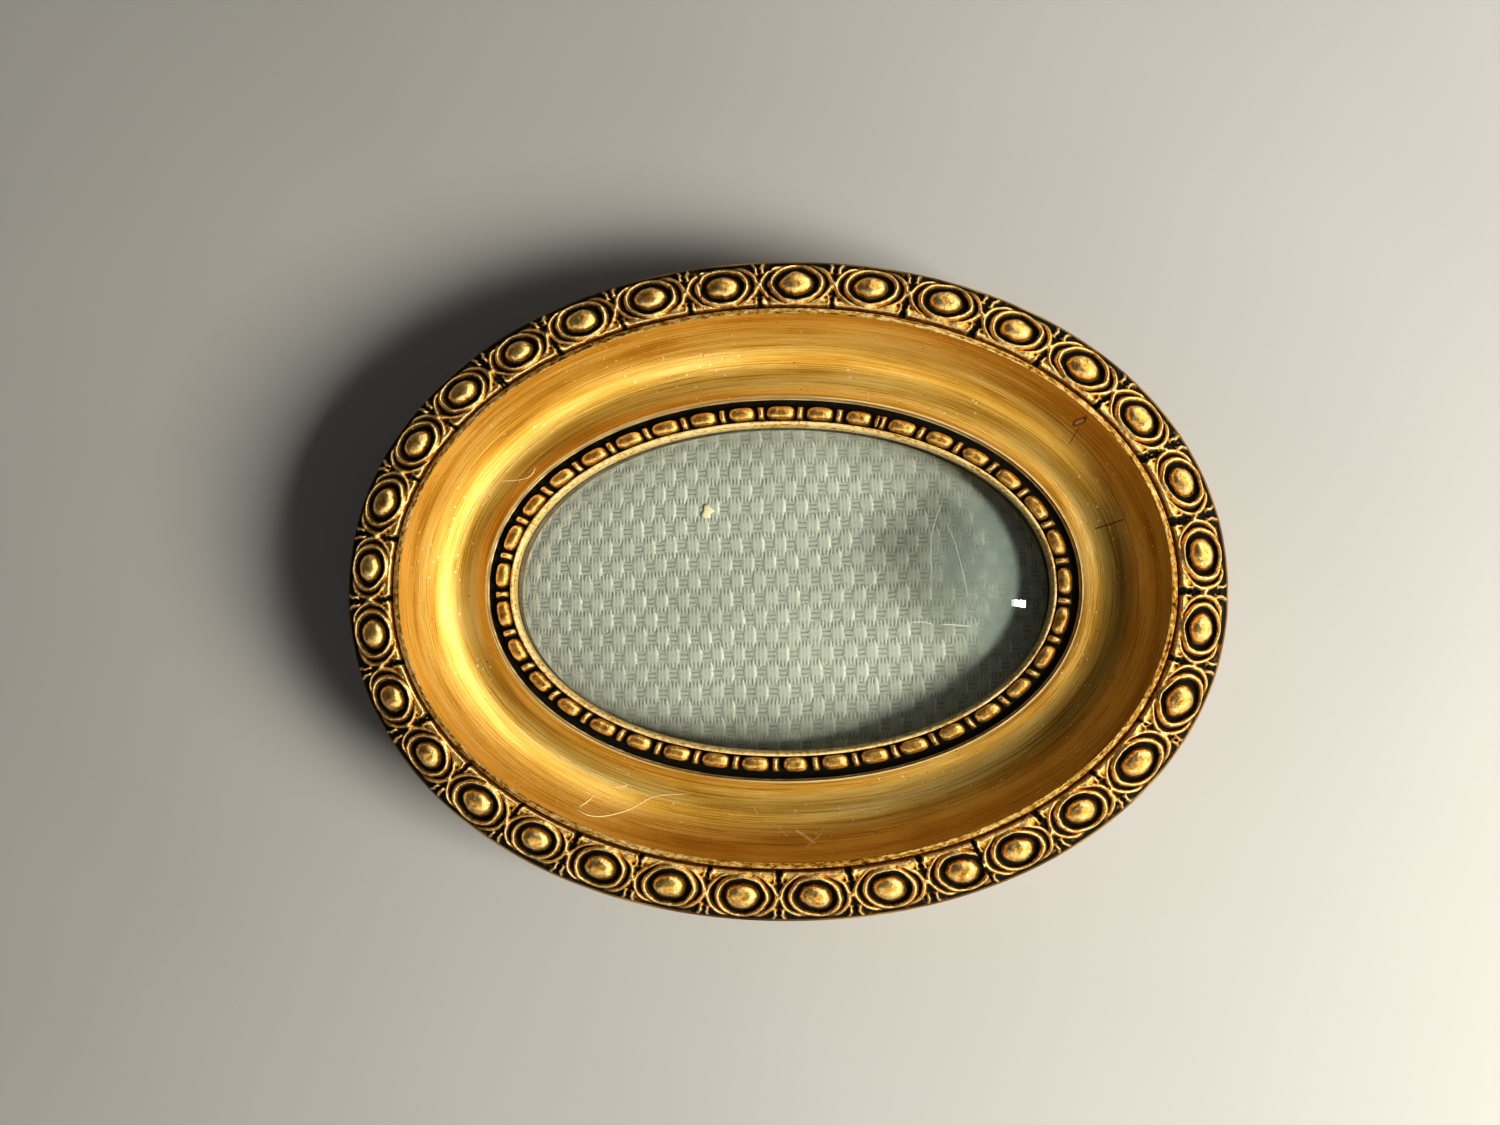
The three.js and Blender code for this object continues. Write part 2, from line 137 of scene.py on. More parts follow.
def oval(inset, share):
    """x and y of the oval at an inset, at shares of the way round."""
    across, up = np.cos(TURN * share), np.sin(TURN * share)
    swell = (np.abs(across) ** fullness + np.abs(up) ** fullness) ** (-1 / fullness)
    return (half_length - inset) * swell * across, (half_width - inset) * swell * up


def length_table(inset, steps=8192):
    """Shares of the way round, and the outline's length in mm up to each."""
    share = np.linspace(0, 1, steps + 1)
    x, y = oval(inset, share)
    length = np.concatenate([[0], np.cumsum(np.hypot(np.diff(x), np.diff(y)))])
    return share, length


def share_at(inset, part):
    """Shares of the way round that lie at these shares of the outline's length."""
    share, length = length_table(inset)
    return np.floor(part) + np.interp(part - np.floor(part), length / length[-1], share)


def smooth(low, high, value):
    """0 below low, 1 above high, and a smooth step between."""
    t = np.clip((value - low) / (high - low), 0, 1)
    return t * t * (3 - 2 * t)


def ridge(distance, half):
    """A rounded ridge, 1 on its crest and 0 from half its width out."""
    return np.sqrt(np.clip(1 - (distance / half) ** 2, 0, 1))


def lattice_noise(u, v, seed):
    """Smooth noise of about -1 to 1 with a period of 1 in u and v."""
    table = np.random.default_rng(seed).uniform(-1, 1, (256, 256))
    iu, iv = np.floor(u).astype(int), np.floor(v).astype(int)
    fu, fv = u - iu, v - iv
    fu, fv = fu * fu * (3 - 2 * fu), fv * fv * (3 - 2 * fv)
    low = table[iu % 256, iv % 256] * (1 - fu) + table[(iu + 1) % 256, iv % 256] * fu
    high = table[iu % 256, (iv + 1) % 256] * (1 - fu) + table[(iu + 1) % 256, (iv + 1) % 256] * fu
    return low * (1 - fv) + high * fv


def noises(u, v, *layers):
    """A sum of noises, each (seed, weight, size along u, size along v)."""
    return sum(weight * lattice_noise(u / long, v / wide, seed) for seed, weight, long, wide in layers)


def blur(field, reach_u, reach_v):
    """Mean over a window of the grid, along and across."""
    for axis, reach in ((0, reach_u), (1, reach_v)):
        padded = np.concatenate(
            [np.take(field, [0] * (reach + 1), axis), field, np.take(field, [-1] * reach, axis)], axis
        )
        total = np.cumsum(padded, axis)
        size = 2 * reach + 1
        count = field.shape[axis]
        high = np.take(total, np.arange(size, size + count), axis)
        field = (high - np.take(total, np.arange(count), axis)) / size
    return field


def add_object(name, data):
    made = bpy.data.objects.new(name, data)
    scene.collection.objects.link(made)
    return made


def baked(holder):
    """The mesh that a curve or a modified object makes. The object itself is removed."""
    mesh = bpy.data.meshes.new_from_object(holder.evaluated_get(bpy.context.evaluated_depsgraph_get()))
    bpy.data.objects.remove(holder)
    return mesh


def show_piece(name, mesh, body, materials):
    """Puts a mesh in the scene, riding on a body."""
    mesh.materials.clear()
    for material in materials:
        mesh.materials.append(material)
    piece = add_object(name, mesh)
    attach(piece, body)
    return piece


def new_piece(name, points, face_groups, materials, zones=None):
    """A smooth piece that rides on the frame, from points in mm.

    Each group of faces is an array with a row of point numbers for each face. The zones are the
    faces' numbers in the list of materials."""
    mesh = bpy.data.meshes.new(name)
    points = np.asarray(points, dtype=np.float32).reshape(-1, 3) * MM
    corners = np.concatenate([np.full(len(group), group.shape[1]) for group in face_groups])
    indices = np.concatenate([group.ravel() for group in face_groups]).astype(np.int32)
    mesh.vertices.add(len(points))
    mesh.vertices.foreach_set("co", points.ravel())
    mesh.loops.add(indices.size)
    mesh.loops.foreach_set("vertex_index", indices)
    mesh.polygons.add(corners.size)
    starts = np.cumsum(corners) - corners
    mesh.polygons.foreach_set("loop_start", starts.astype(np.int32))
    mesh.polygons.foreach_set("use_smooth", np.ones(corners.size, dtype=bool))
    mesh.update(calc_edges=True)
    mesh.validate()
    piece = show_piece(name, mesh, "frame", materials)
    if zones is not None:
        mesh.polygons.foreach_set("material_index", np.asarray(zones, dtype=np.int32))
    return piece


def give(piece, name, values, kind="FLOAT"):
    """A number or a vector for each vertex, which the materials read by name."""
    attribute = piece.data.attributes.new(name, kind, "POINT")
    field = "value" if kind == "FLOAT" else "vector"
    attribute.data.foreach_set(field, np.asarray(values, dtype=np.float32).ravel())


def give_flow(piece, across, share, radius):
    """Coordinates in mm that run across the moulding (x) and round it (y and z, a circle)."""
    across, lap = np.broadcast_arrays(across, TURN * share)
    flow = np.stack([across, radius * np.cos(lap), radius * np.sin(lap)], -1)
    give(piece, "flow", flow, "FLOAT_VECTOR")


def grid_faces(rows, columns, round_rows=False, round_columns=False):
    """Quads over a grid of points, whose rows or columns may close into rings."""
    i = np.arange(rows if round_rows else rows - 1)[:, None]
    j = np.arange(columns if round_columns else columns - 1)[None, :]
    i2, j2 = (i + 1) % rows, (j + 1) % columns
    corners = (i * columns + j, i2 * columns + j, i2 * columns + j2, i * columns + j2)
    return np.stack([np.broadcast_to(c, (i.size, j.size)) for c in corners], -1).reshape(-1, 4)


def arc(centre, radii, start, end, steps):
    angle = np.linspace(start, end, steps + 1)
    return [(centre[0] + radii[0] * math.cos(a), centre[1] + radii[1] * math.sin(a)) for a in angle]


def turned(outline, around):
    """An outline of (inset, z) turned round the oval, as a grid with one row for each step round."""
    inset, z = np.array(outline, dtype=float).T
    x, y = oval(inset[None, :], (np.arange(around) / around)[:, None])
    return np.stack([x, y, np.broadcast_to(z, x.shape)], -1)


def turned_solid(name, outline, material, around=256):
    """A solid with an outline turned round the oval, and flat faces in the middle."""
    columns = len(outline)
    first = (np.arange(around) * columns)[None, :]
    faces = [grid_faces(around, columns, True)[:, ::-1], first, first[:, ::-1] + columns - 1]
    return new_piece(name, turned(outline, around), faces, [material])


# --- Materials ---


class Value:
    """A node's output. Arithmetic on it adds Math nodes."""

    def __init__(self, nodes, socket):
        self.nodes = nodes
        self.socket = socket

    def __add__(self, other):
        return self.nodes.math("ADD", self, other)

    def __sub__(self, other):
        return self.nodes.math("SUBTRACT", self, other)

    def __mul__(self, other):
        return self.nodes.math("MULTIPLY", self, other)

    def __lt__(self, other):
        return self.nodes.math("LESS_THAN", self, other)

    def max(self, other):
        return self.nodes.math("MAXIMUM", self, other)


class Nodes:
    """A short way to write a material's nodes."""

    def __init__(self, name):
        self.material = bpy.data.materials.new(name)
        self.material.use_nodes = True
        self.tree = self.material.node_tree
        self.tree.nodes.clear()
        self.output = self.tree.nodes.new("ShaderNodeOutputMaterial")

    def add(self, kind, settings=None, output=0, **inputs):
        """Adds a node, and gives one of its outputs."""
        node = self.tree.nodes.new("ShaderNode" + kind)
        for key, value in (settings or {}).items():
            setattr(node, key, value)
        for key, value in inputs.items():
            self.plug(node, key.replace("_", " "), value)
        return Value(self, node.outputs[output])

    def plug(self, node, key, value):
        socket = node.inputs[int(key)] if key.isdigit() else node.inputs[key]
        if isinstance(value, Value):
            self.tree.links.new(value.socket, socket)
        elif socket.type == "RGBA":
            socket.default_value = (*value, 1)
        else:
            socket.default_value = value

    def add_numbered(self, kind, settings, values, output=0):
        """Adds a node whose inputs are given in order."""
        return self.add(kind, settings, output, **{str(index): value for index, value in enumerate(values)})

    def math(self, operation, *values, clamp=False):
        return self.add_numbered("Math", {"operation": operation, "use_clamp": clamp}, values)

    def range(self, value, low, high, new_low=0.0, new_high=1.0):
        return self.add_numbered("MapRange", {}, (value, low, high, new_low, new_high))

    def read(self, name, output="Fac"):
        return self.add("Attribute", {"attribute_name": name}, output)

    def place(self):
        """The object's coordinates in millimetres."""
        return self.stretch(self.add("TexCoord", output="Object"), (1 / MM, 1 / MM, 1 / MM))

    def stretch(self, vector, scale):
        return self.add_numbered("VectorMath", {"operation": "MULTIPLY"}, (vector, scale))

    def split(self, vector):
        """The x and y of a vector."""
        return [self.add("SeparateXYZ", output=axis, Vector=vector) for axis in (0, 1)]

    def noise(self, vector, scale, detail=3.0, roughness=0.55, distortion=0.0):
        """Noise at a scale, or stretched by three scales."""
        if isinstance(scale, tuple):
            vector, scale = self.stretch(vector, scale), 1.0
        shape = {"Scale": scale, "Detail": detail, "Roughness": roughness, "Distortion": distortion}
        return self.add("TexNoise", output="Fac", Vector=vector, **shape)

    def spots(self, vector, scale):
        return self.add("TexVoronoi", output="Distance", Vector=vector, Scale=scale)

    def near_line(self, place, start, end, width):
        """1 within a distance in mm of a line between two (x, y) places, 0 away from it."""
        x, y = (part - origin for part, origin in zip(self.split(place), start))
        run, rise = end[0] - start[0], end[1] - start[1]
        share = self.math("DIVIDE", x * run + y * rise, run * run + rise * rise, clamp=True)
        x, y = x - share * run, y - share * rise
        return self.range(self.math("SQRT", x * x + y * y), width * 0.6, width, 1.0, 0.0)

    def ramp(self, value, *stops):
        """A number between 0 and 1 turned into a colour, by (place, colour) stops."""
        made = self.add("ValToRGB", Fac=value)
        points = made.socket.node.color_ramp.elements
        while len(points) < len(stops):
            points.new(0.5)
        for point, (place, colour) in zip(points, stops):
            point.position = place
            point.color = (*colour, 1)
        return made

    def mix(self, share, a, b):
        return self.add("Mix", {"data_type": "RGBA"}, 2, **{"0": share, "6": a, "7": b})

    def bump(self, height, distance):
        """Distance is in mm."""
        return self.add("Bump", Height=height, Strength=1.0, Distance=distance * MM)

    def finish(self, shader):
        self.tree.links.new(shader.socket, self.output.inputs[0])
        return self.material

    def surface(self, **inputs):
        return self.finish(self.add("BsdfPrincipled", **inputs))


pale_gold = (0.97, 0.77, 0.37)
bright_gold = (0.87, 0.57, 0.145)
deep_gold = (0.62, 0.33, 0.038)
brown_gold = (0.28, 0.11, 0.012)
patina = (0.006, 0.006, 0.005)

# Marks on the cove, in mm: from, to, half width, colour.
cove_scratches = [
    ((75.6, 13.6), (81.2, 15.3), 0.16, (0.10, 0.03, 0.008)),
    ((69.2, 33.6), (70.4, 36.2), 0.12, (0.14, 0.05, 0.012)),
    ((69.7, 37.5), (70.7, 37.6), 0.75, (0.16, 0.06, 0.015)),
    ((69.8, 37.5), (70.6, 37.6), 0.42, (0.72, 0.58, 0.34)),
    ((4.0, -57.6), (8.2, -59.8), 0.30, (0.86, 0.72, 0.45)),
    ((6.2, -60.8), (9.8, -58.2), 0.22, (0.80, 0.64, 0.38)),
    ((-0.5, -57.0), (2.0, -58.8), 0.10, (0.86, 0.72, 0.45)),
    ((-6.2, -52.6), (-5.2, -54.4), 0.10, (0.86, 0.72, 0.45)),
]
cove_hairs = [
    [(-47.2, -52.2), (-44.2, -53.6), (-40.5, -54.0), (-35.6, -53.0), (-29.6, -50.2), (-21.4, -49.6)],
    [(-46.6, -51.9), (-44.9, -50.6), (-44.2, -49.4)],
    [(-40.2, -48.2), (-37.8, -48.0), (-36.6, -47.6)],
    [(-69.3, 26.4), (-62.4, 27.2), (-60.2, 29.8)],
]
glass_fibres = [
    ([(29.6, -9.6), (31.6, -8.8), (34.4, -8.8), (36.4, -9.4)], 0.09),
    ([(38.4, -9.3), (41.5, -9.4), (45.2, -9.8)], 0.09),
    ([(39.4, 20.6), (37.6, 16.2), (36.2, 11.0), (36.0, 4.0), (35.8, -3.6)], 0.05),
    ([(40.2, 14.8), (42.4, 8.0), (44.8, -3.4)], 0.05),
    ([(20.2, -1.2), (22.6, 0.8), (24.4, 4.2)], 0.05),
]


def gilded_cove():
    """Metal leaf laid in laps, toned with shellac, and rubbed round the cove, with a pale line on the arris
    that is partly rubbed gilding and partly a painted highlight.
    """
    n = Nodes("gilded_cove")
    flow = n.read("flow", "Vector")
    place = n.place()
    streaks = n.noise(flow, (2.6, 0.03, 0.03), 4, 0.65)
    fine = n.noise(flow, (9.0, 0.10, 0.10), 3, 0.6)
    broad = n.noise(flow, (0.30, 0.025, 0.025), 3, 0.5)
    tone = streaks * 0.40 + broad * 0.40 + n.noise(place, 0.035, 3) * 0.20 + (fine - 0.5) * 0.22
    colour = n.ramp(tone, (0.30, brown_gold), (0.44, deep_gold), (0.56, bright_gold), (0.72, pale_gold))
    specks = n.spots(n.stretch(place, (1, 0.7, 1)), 0.55) < 0.13
    speckled = n.range(n.noise(place, 0.045, 2), 0.46, 0.54)
    colour = n.mix(specks * speckled, colour, (0.92, 0.80, 0.55))
    stains = n.spots(n.stretch(place, (1, 1, 1.3)), 0.33) < 0.055
    stained = n.range(n.noise(place, 0.03, 1), 0.5, 0.56)
    colour = n.mix(stains * stained, colour, (0.06, 0.022, 0.006))
    for start, end, width, shade in cove_scratches:
        colour = n.mix(n.near_line(place, start, end, width), colour, shade)
    # Partly rubbed gilding, partly painted highlight: a pale line all round the arris stands for the
    # highlight its rounded edge catches.
    at_arris = n.range(n.read("across"), arris_inset - 0.6, arris_inset - 0.1)
    rubbed = at_arris * n.range(streaks, 0.40, 0.60, 0.1, 0.9)
    colour = n.mix(rubbed, colour, (0.96, 0.84, 0.52))
    rough = n.range(streaks, 0.3, 0.7, 0.24, 0.36)
    normal = n.bump(streaks * 0.6 + fine * 0.4, 0.09)
    return n.surface(Base_Color=colour, Metallic=0.72, Roughness=rough, Normal=normal)


def gilded_ornament():
    """Gilt cast ornament, black in its hollows, brown outside, and paler on its crests, partly rubbed gilding
    and partly a painted highlight.
    """
    n = Nodes("gilded_ornament")
    place = n.place()
    hollow, crest, outer = n.read("hollow"), n.read("crest"), n.read("outer")
    mottle = n.noise(place, 0.8, 4, 0.65)
    tone = mottle * 0.75 + n.noise(place, 0.06, 2) * 0.25
    gold = n.ramp(tone, (0.34, brown_gold), (0.45, (0.66, 0.32, 0.045)), (0.60, (0.94, 0.59, 0.15)))
    # Partly wear, partly painted highlight: the crests are painted pale gold for the highlight they catch as
    # well as for their rubbing.
    worn_and_highlight = crest * n.range(n.noise(place, 1.4, 3), 0.40, 0.60, 0.2, 1.0)
    gold = n.mix(worn_and_highlight * 0.9, gold, (1.0, 0.83, 0.42))
    gold = n.mix(outer * n.range(crest, 0.1, 0.6, 0.85, 0.15), gold, (0.11, 0.045, 0.010))
    pits = n.spots(place, 1.3) < n.range(n.noise(place, 0.7, 2), 0.42, 0.7, 0.04, 0.36)
    dirt = n.range(hollow + (mottle - 0.5) * 0.8, 0.40, 0.60).max(pits * 0.6)
    colour = n.mix(dirt, gold, patina)
    metal = n.range(dirt, 0.2, 0.9, 0.95, 0.0)
    rough = n.range(dirt, 0.0, 1.0, 0.30, 0.75)
    normal = n.bump(mottle + n.noise(place, 3.5, 3) * 0.35, 0.18)
    shader = {"Base_Color": colour, "Metallic": metal, "Roughness": rough, "Normal": normal}
    return n.surface(Specular_IOR_Level=0.15, **shader)


def worn_fillet(name, wear, metal):
    """A thin gilt edge, crackled and chipped. Less wear leaves more gold."""
    n = Nodes(name)
    flow = n.read("flow", "Vector")
    chips = n.noise(flow, (1.5, 0.8, 0.8), 4, 0.7)
    tone = chips * 0.6 + n.noise(flow, (1.8, 0.05, 0.05), 3, 0.6) * 0.4
    stops = [(0.0, (0.035, 0.016, 0.006)), (0.05, brown_gold), (0.11, deep_gold), (0.22, pale_gold)]
    gold = n.ramp(tone, *((wear + step, colour) for step, colour in stops))
    rough = n.range(chips, 0.3, 0.7, 0.30, 0.45)
    return n.surface(Base_Color=gold, Metallic=metal, Roughness=rough, Normal=n.bump(chips, 0.3))


def black_channel():
    """The hollow that the beads lie in, stained black, with a little gold rubbed on."""
    n = Nodes("black_channel")
    rubbed = n.noise(n.read("flow", "Vector"), (1.2, 0.5, 0.5), 4, 0.7)
    stops = [(0.55, (0.008, 0.007, 0.005)), (0.75, (0.03, 0.02, 0.008)), (0.9, (0.3, 0.19, 0.06))]
    colour = n.ramp(rubbed, *stops)
    normal = n.bump(rubbed, 0.15)
    return n.surface(Base_Color=colour, Specular_IOR_Level=0.1, Roughness=0.8, Normal=normal)


def toned_side():
    """The frame's outer side, gilt and toned dark brown, with the wood's grain telling through."""
    n = Nodes("toned_side")
    grain = n.noise(n.read("flow", "Vector"), (1.6, 0.06, 0.06), 4, 0.6)
    tone = grain * 0.6 + n.noise(n.place(), 0.07, 3) * 0.4
    stops = [(0.34, (0.06, 0.028, 0.008)), (0.5, (0.26, 0.14, 0.035)), (0.68, (0.55, 0.36, 0.11))]
    colour = n.ramp(tone, *stops)
    rough = n.range(grain, 0.3, 0.7, 0.34, 0.5)
    return n.surface(Base_Color=colour, Metallic=0.75, Roughness=rough, Normal=n.bump(grain, 0.12))


def bare_wood():
    """Turned wood left bare at the back, stained, with long grain along the oval."""
    n = Nodes("bare_wood")
    place = n.place()
    grain = n.noise(place, (0.05, 0.9, 0.9), 5, 0.6, 0.4)
    pores = n.noise(place, (0.35, 6.0, 6.0), 3, 0.6)
    tone = grain * 0.6 + n.noise(place, 0.04, 3) * 0.4
    colour = n.ramp(tone, (0.35, (0.17, 0.10, 0.05)), (0.65, (0.30, 0.19, 0.10)))
    colour = n.mix(n.range(pores, 0.56, 0.64), colour, (0.068, 0.04, 0.02))
    normal = n.bump(grain + pores * 0.4, 0.15)
    return n.surface(Base_Color=colour, Roughness=n.range(grain, 0.3, 0.7, 0.62, 0.8), Normal=normal)


def clear_glass():
    """Old picture glass. Light for shadows goes straight through it."""
    n = Nodes("clear_glass")
    tint = (0.93, 0.96, 0.93)
    smears = n.noise(n.place(), (0.05, 0.09, 0.09), 3)
    rough = n.range(smears, 0.4, 0.7, 0.0, 0.03)
    glass = n.add("BsdfPrincipled", Base_Color=tint, Roughness=rough, Transmission_Weight=1, IOR=1.5)
    clear = n.add("BsdfTransparent", Color=tint)
    is_shadow = n.add("LightPath", output="Is Shadow Ray")
    return n.finish(n.add_numbered("MixShader", {}, (is_shadow, glass, clear)))


def hazy_film():
    """A film just under the glass: dirt in smears, wipes and dust, thicker towards the dome's edge, with a
    painted reflection of the window in a patch right of the middle, and cut away in a crescent at the right
    as painted shadow.
    """
    n = Nodes("hazy_film")
    place = n.place()
    from_edge = n.range(n.read("across"), dome_inset - 1, dome_inset + 12, 0.26, 0.0)
    smears = n.range(n.noise(place, (0.05, 0.10, 0.1), 4, 0.6, 0.6), 0.42, 0.75, 0.0, 0.20)
    wipes = n.range(n.noise(place, (0.16, 0.02, 0.1), 3), 0.5, 0.8, 0.0, 0.12)
    # Painted reflection: a patch right of the middle, thicker and bluish grey, stands for the window mirrored
    # in the glass.
    veil = n.read("veil") * n.range(n.noise(place, 0.12, 5, 0.7, 1.0), 0.36, 0.66, 0.45, 0.85)
    dust = n.spots(place, 0.5) < n.range(n.noise(place, 0.3, 2), 0.5, 0.8, 0.0, 0.09)
    # The film is taken away where the painted shadow lies.
    thick = n.math("ADD", from_edge + smears + wipes + veil, dust * 0.5, clamp=True) * n.read("lit")
    colour = n.ramp(smears, (0.0, (0.36, 0.36, 0.32)), (0.2, (0.48, 0.49, 0.44)))
    colour = n.mix(n.math("MULTIPLY", veil, 1.6, clamp=True), colour, (0.20, 0.225, 0.215))
    film = n.add("BsdfDiffuse", Color=colour)
    clear = n.add("BsdfTransparent")
    return n.finish(n.add_numbered("MixShader", {}, (thick, clear, film)))


def basket_cloth():
    """Grey-green basket weave: bundles of upright ribs between blocks of level strands, with painted shade in
    its gaps and troughs and on the bundles' left edges, and a painted highlight on their right edges.
    """
    n = Nodes("basket_cloth")
    place = n.place()
    along, up = n.split(n.read("weave", "Vector"))
    upright, level, lean, finger = (n.read(name) for name in ("upright", "level", "lean", "finger"))
    wander = (n.noise(place, 0.5, 2) - 0.5) * 2.0
    rib = n.math("COSINE", along * (TURN / rib_pitch) + wander)
    strand = n.math("COSINE", up * (TURN / strand_pitch) + wander)
    patchy = n.range(n.noise(place, 0.6, 2), 0.36, 0.60, 0.35, 1.0) * n.range(upright, 0.05, 0.3)
    # Painted shade: dark troughs between the ribs at the bundles' ends, dark lines between the level strands,
    # and dark gaps between bundles and blocks.
    troughs = n.range(rib, 0.7, -0.6) * n.range(finger, 0, 1, 0.12, 0.8) * patchy
    lines = n.range(n.range(strand, 0.2, -0.9) * level, 0, 1, 0, 0.75)
    # Painted shade on the left edge of each upright bundle, the side away from the light.
    edge = n.range(lean, -0.74, -0.95) * n.range(upright, 0.02, 0.2)
    gaps = n.math("SUBTRACT", 1, n.range(upright, 0.0, 0.25).max(level), clamp=True)
    # All the painted shade together, and the level blocks a little darker as well.
    dark = troughs.max(lines).max(gaps).max(edge * 0.5).max(level * 0.24)
    fibre = n.noise(place, (5.0, 1.2, 5.0), 4, 0.7)
    tone = fibre * 0.7 + n.noise(place, 0.03, 3) * 0.3
    colour = n.ramp(tone, (0.35, (0.42, 0.42, 0.39)), (0.5, (0.54, 0.535, 0.49)), (0.65, (0.64, 0.635, 0.58)))
    colour = n.mix(dark * 0.75, colour, (0.15, 0.15, 0.12))
    # Painted highlight: a cream line on the right edge of each upright bundle, the side facing the light.
    cream = n.range(lean, 0.64, 0.80) * n.range(upright, 0.05, 0.3)
    cream = cream * n.range(n.noise(place, 0.2, 2), 0.40, 0.56, 0.25, 1.0)
    colour = n.mix(cream * 0.85, colour, (0.88, 0.87, 0.75))
    rough = n.range(fibre, 0.3, 0.7, 0.75, 0.95)
    normal = n.bump(fibre * 0.5 - dark, 0.16)
    return n.surface(Base_Color=colour, Roughness=rough, Normal=normal, Sheen_Weight=0.15)


def card(name, light, dark, grain_size):
    """Pulp card: flecked, felted fibres."""
    n = Nodes(name)
    place = n.place()
    pulp = n.noise(place, grain_size, 5, 0.7)
    fleck = n.spots(n.stretch(place, (0.5, 1.3, 1)), grain_size)
    colour = n.ramp(pulp, (0.35, dark), (0.65, light))
    colour = n.mix(n.range(fleck, 0.14, 0.02), colour, dark)
    return n.surface(Base_Color=colour, Roughness=0.9, Normal=n.bump(pulp, 0.05))


def hardboard():
    """Tempered hardboard: brown, felted, with a faint screen pattern."""
    n = Nodes("hardboard")
    place = n.place()
    felt = n.noise(place, 0.9, 6, 0.75)
    across, up = (n.math("SINE", part * (TURN / 1.5)) for part in n.split(place))
    screen = n.range(across * up, -1, 1)
    tone = felt * 0.6 + n.noise(place, 0.035, 3) * 0.4
    stops = [(0.34, (0.09, 0.048, 0.024)), (0.5, (0.17, 0.095, 0.045)), (0.68, (0.27, 0.17, 0.09))]
    colour = n.ramp(tone, *stops)
    rough = n.range(felt, 0.3, 0.7, 0.45, 0.75)
    return n.surface(Base_Color=colour, Roughness=rough, Normal=n.bump(screen * 0.5 + felt, 0.08))


def aged_metal(name, bright, dull, tarnish, grain):
    """Plated or plain metal, brushed along its grain, tarnished in clouds and speckled."""
    n = Nodes(name)
    place = n.place()
    brushed = n.noise(place, grain, 3, 0.6)
    cloud = n.noise(place, 0.35, 4, 0.65)
    tone = brushed * 0.45 + cloud * 0.55
    colour = n.ramp(tone, (0.36, tarnish), (0.5, dull), (0.64, bright))
    rough = n.range(tone, 0.35, 0.65, 0.5, 0.26)
    return n.surface(Base_Color=colour, Metallic=0.95, Roughness=rough, Normal=n.bump(brushed + cloud, 0.03))


def loose_thread(name, colour):
    n = Nodes(name)
    fibre = n.noise(n.place(), 4.0, 3)
    shade = n.ramp(fibre, (0.3, tuple(c * 0.75 for c in colour)), (0.7, colour))
    return n.surface(Base_Color=shade, Roughness=0.8, Normal=n.bump(fibre, 0.02))


# --- The moulding ---


def rounded(points, radius, steps=4):
    """An outline of [inset, z] with each corner rounded, as far as its sides allow."""
    made = []
    points = [np.array(p, dtype=float) for p in points]
    for index, corner in enumerate(points):
        before, after = points[index - 1], points[(index + 1) % len(points)]
        to_before, to_after = before - corner, after - corner
        reach = min(radius, 0.45 * np.linalg.norm(to_before), 0.45 * np.linalg.norm(to_after))
        start = corner + to_before / np.linalg.norm(to_before) * reach
        end = corner + to_after / np.linalg.norm(to_after) * reach
        for t in np.linspace(0, 1, steps + 1):
            made.append((1 - t) ** 2 * start + 2 * t * (1 - t) * corner + t**2 * end)
    return made


def softened(corners, before, after, radius=0.25):
    """The corners rounded, with their neighbours only leading in and out."""
    steps = 4
    kept = rounded([before, *corners, after], radius, steps)
    return kept[steps + 1 : (steps + 1) * (len(corners) + 1)]


def cove_curve(steps=72):
    """The cove falls steeply from the fillet, runs flat and turns up a little to its arris."""
    width = arris_inset - cove_inset
    lowest = 0.72 * width
    top = fillet_z - 0.25
    start = math.acos(-0.96)
    depth = (top - cove_bottom_z) / (1 - math.sin(start))
    reach = lowest / 0.96
    end = math.acos((width - lowest) / reach)
    return arc((cove_inset + lowest, cove_bottom_z + depth), (reach, depth), -start, -end, steps)


def side_curve(steps=24):
    """The hollow side, from the back fillet up to the fillet under the ornament."""
    top = land_outer_z - side_fillet
    rise = np.linspace(0, 1, steps + 1)
    z = back_fillet_z + (top - back_fillet_z) * rise
    return list(zip(side_hollow * np.cos(rise * TURN / 4) + 0.25, z))


def lathe(name, sections, materials, around=512):
    """Turns a closed outline round the oval. Each section of it is (material number, points)."""
    outline = [point for _, points in sections for point in points]
    zones = [number for number, points in sections for _ in points]
    faces = grid_faces(around, len(outline), True, True)[:, ::-1]
    piece = new_piece(name, turned(outline, around), [faces], materials, np.tile(zones, around))
    inset, z = np.array(outline).T
    run = np.concatenate([[0], np.cumsum(np.hypot(np.diff(inset), np.diff(z)))])
    give_flow(piece, run[None, :], (np.arange(around) / around)[:, None], 70)
    give(piece, "across", np.tile(inset, around))
    return piece


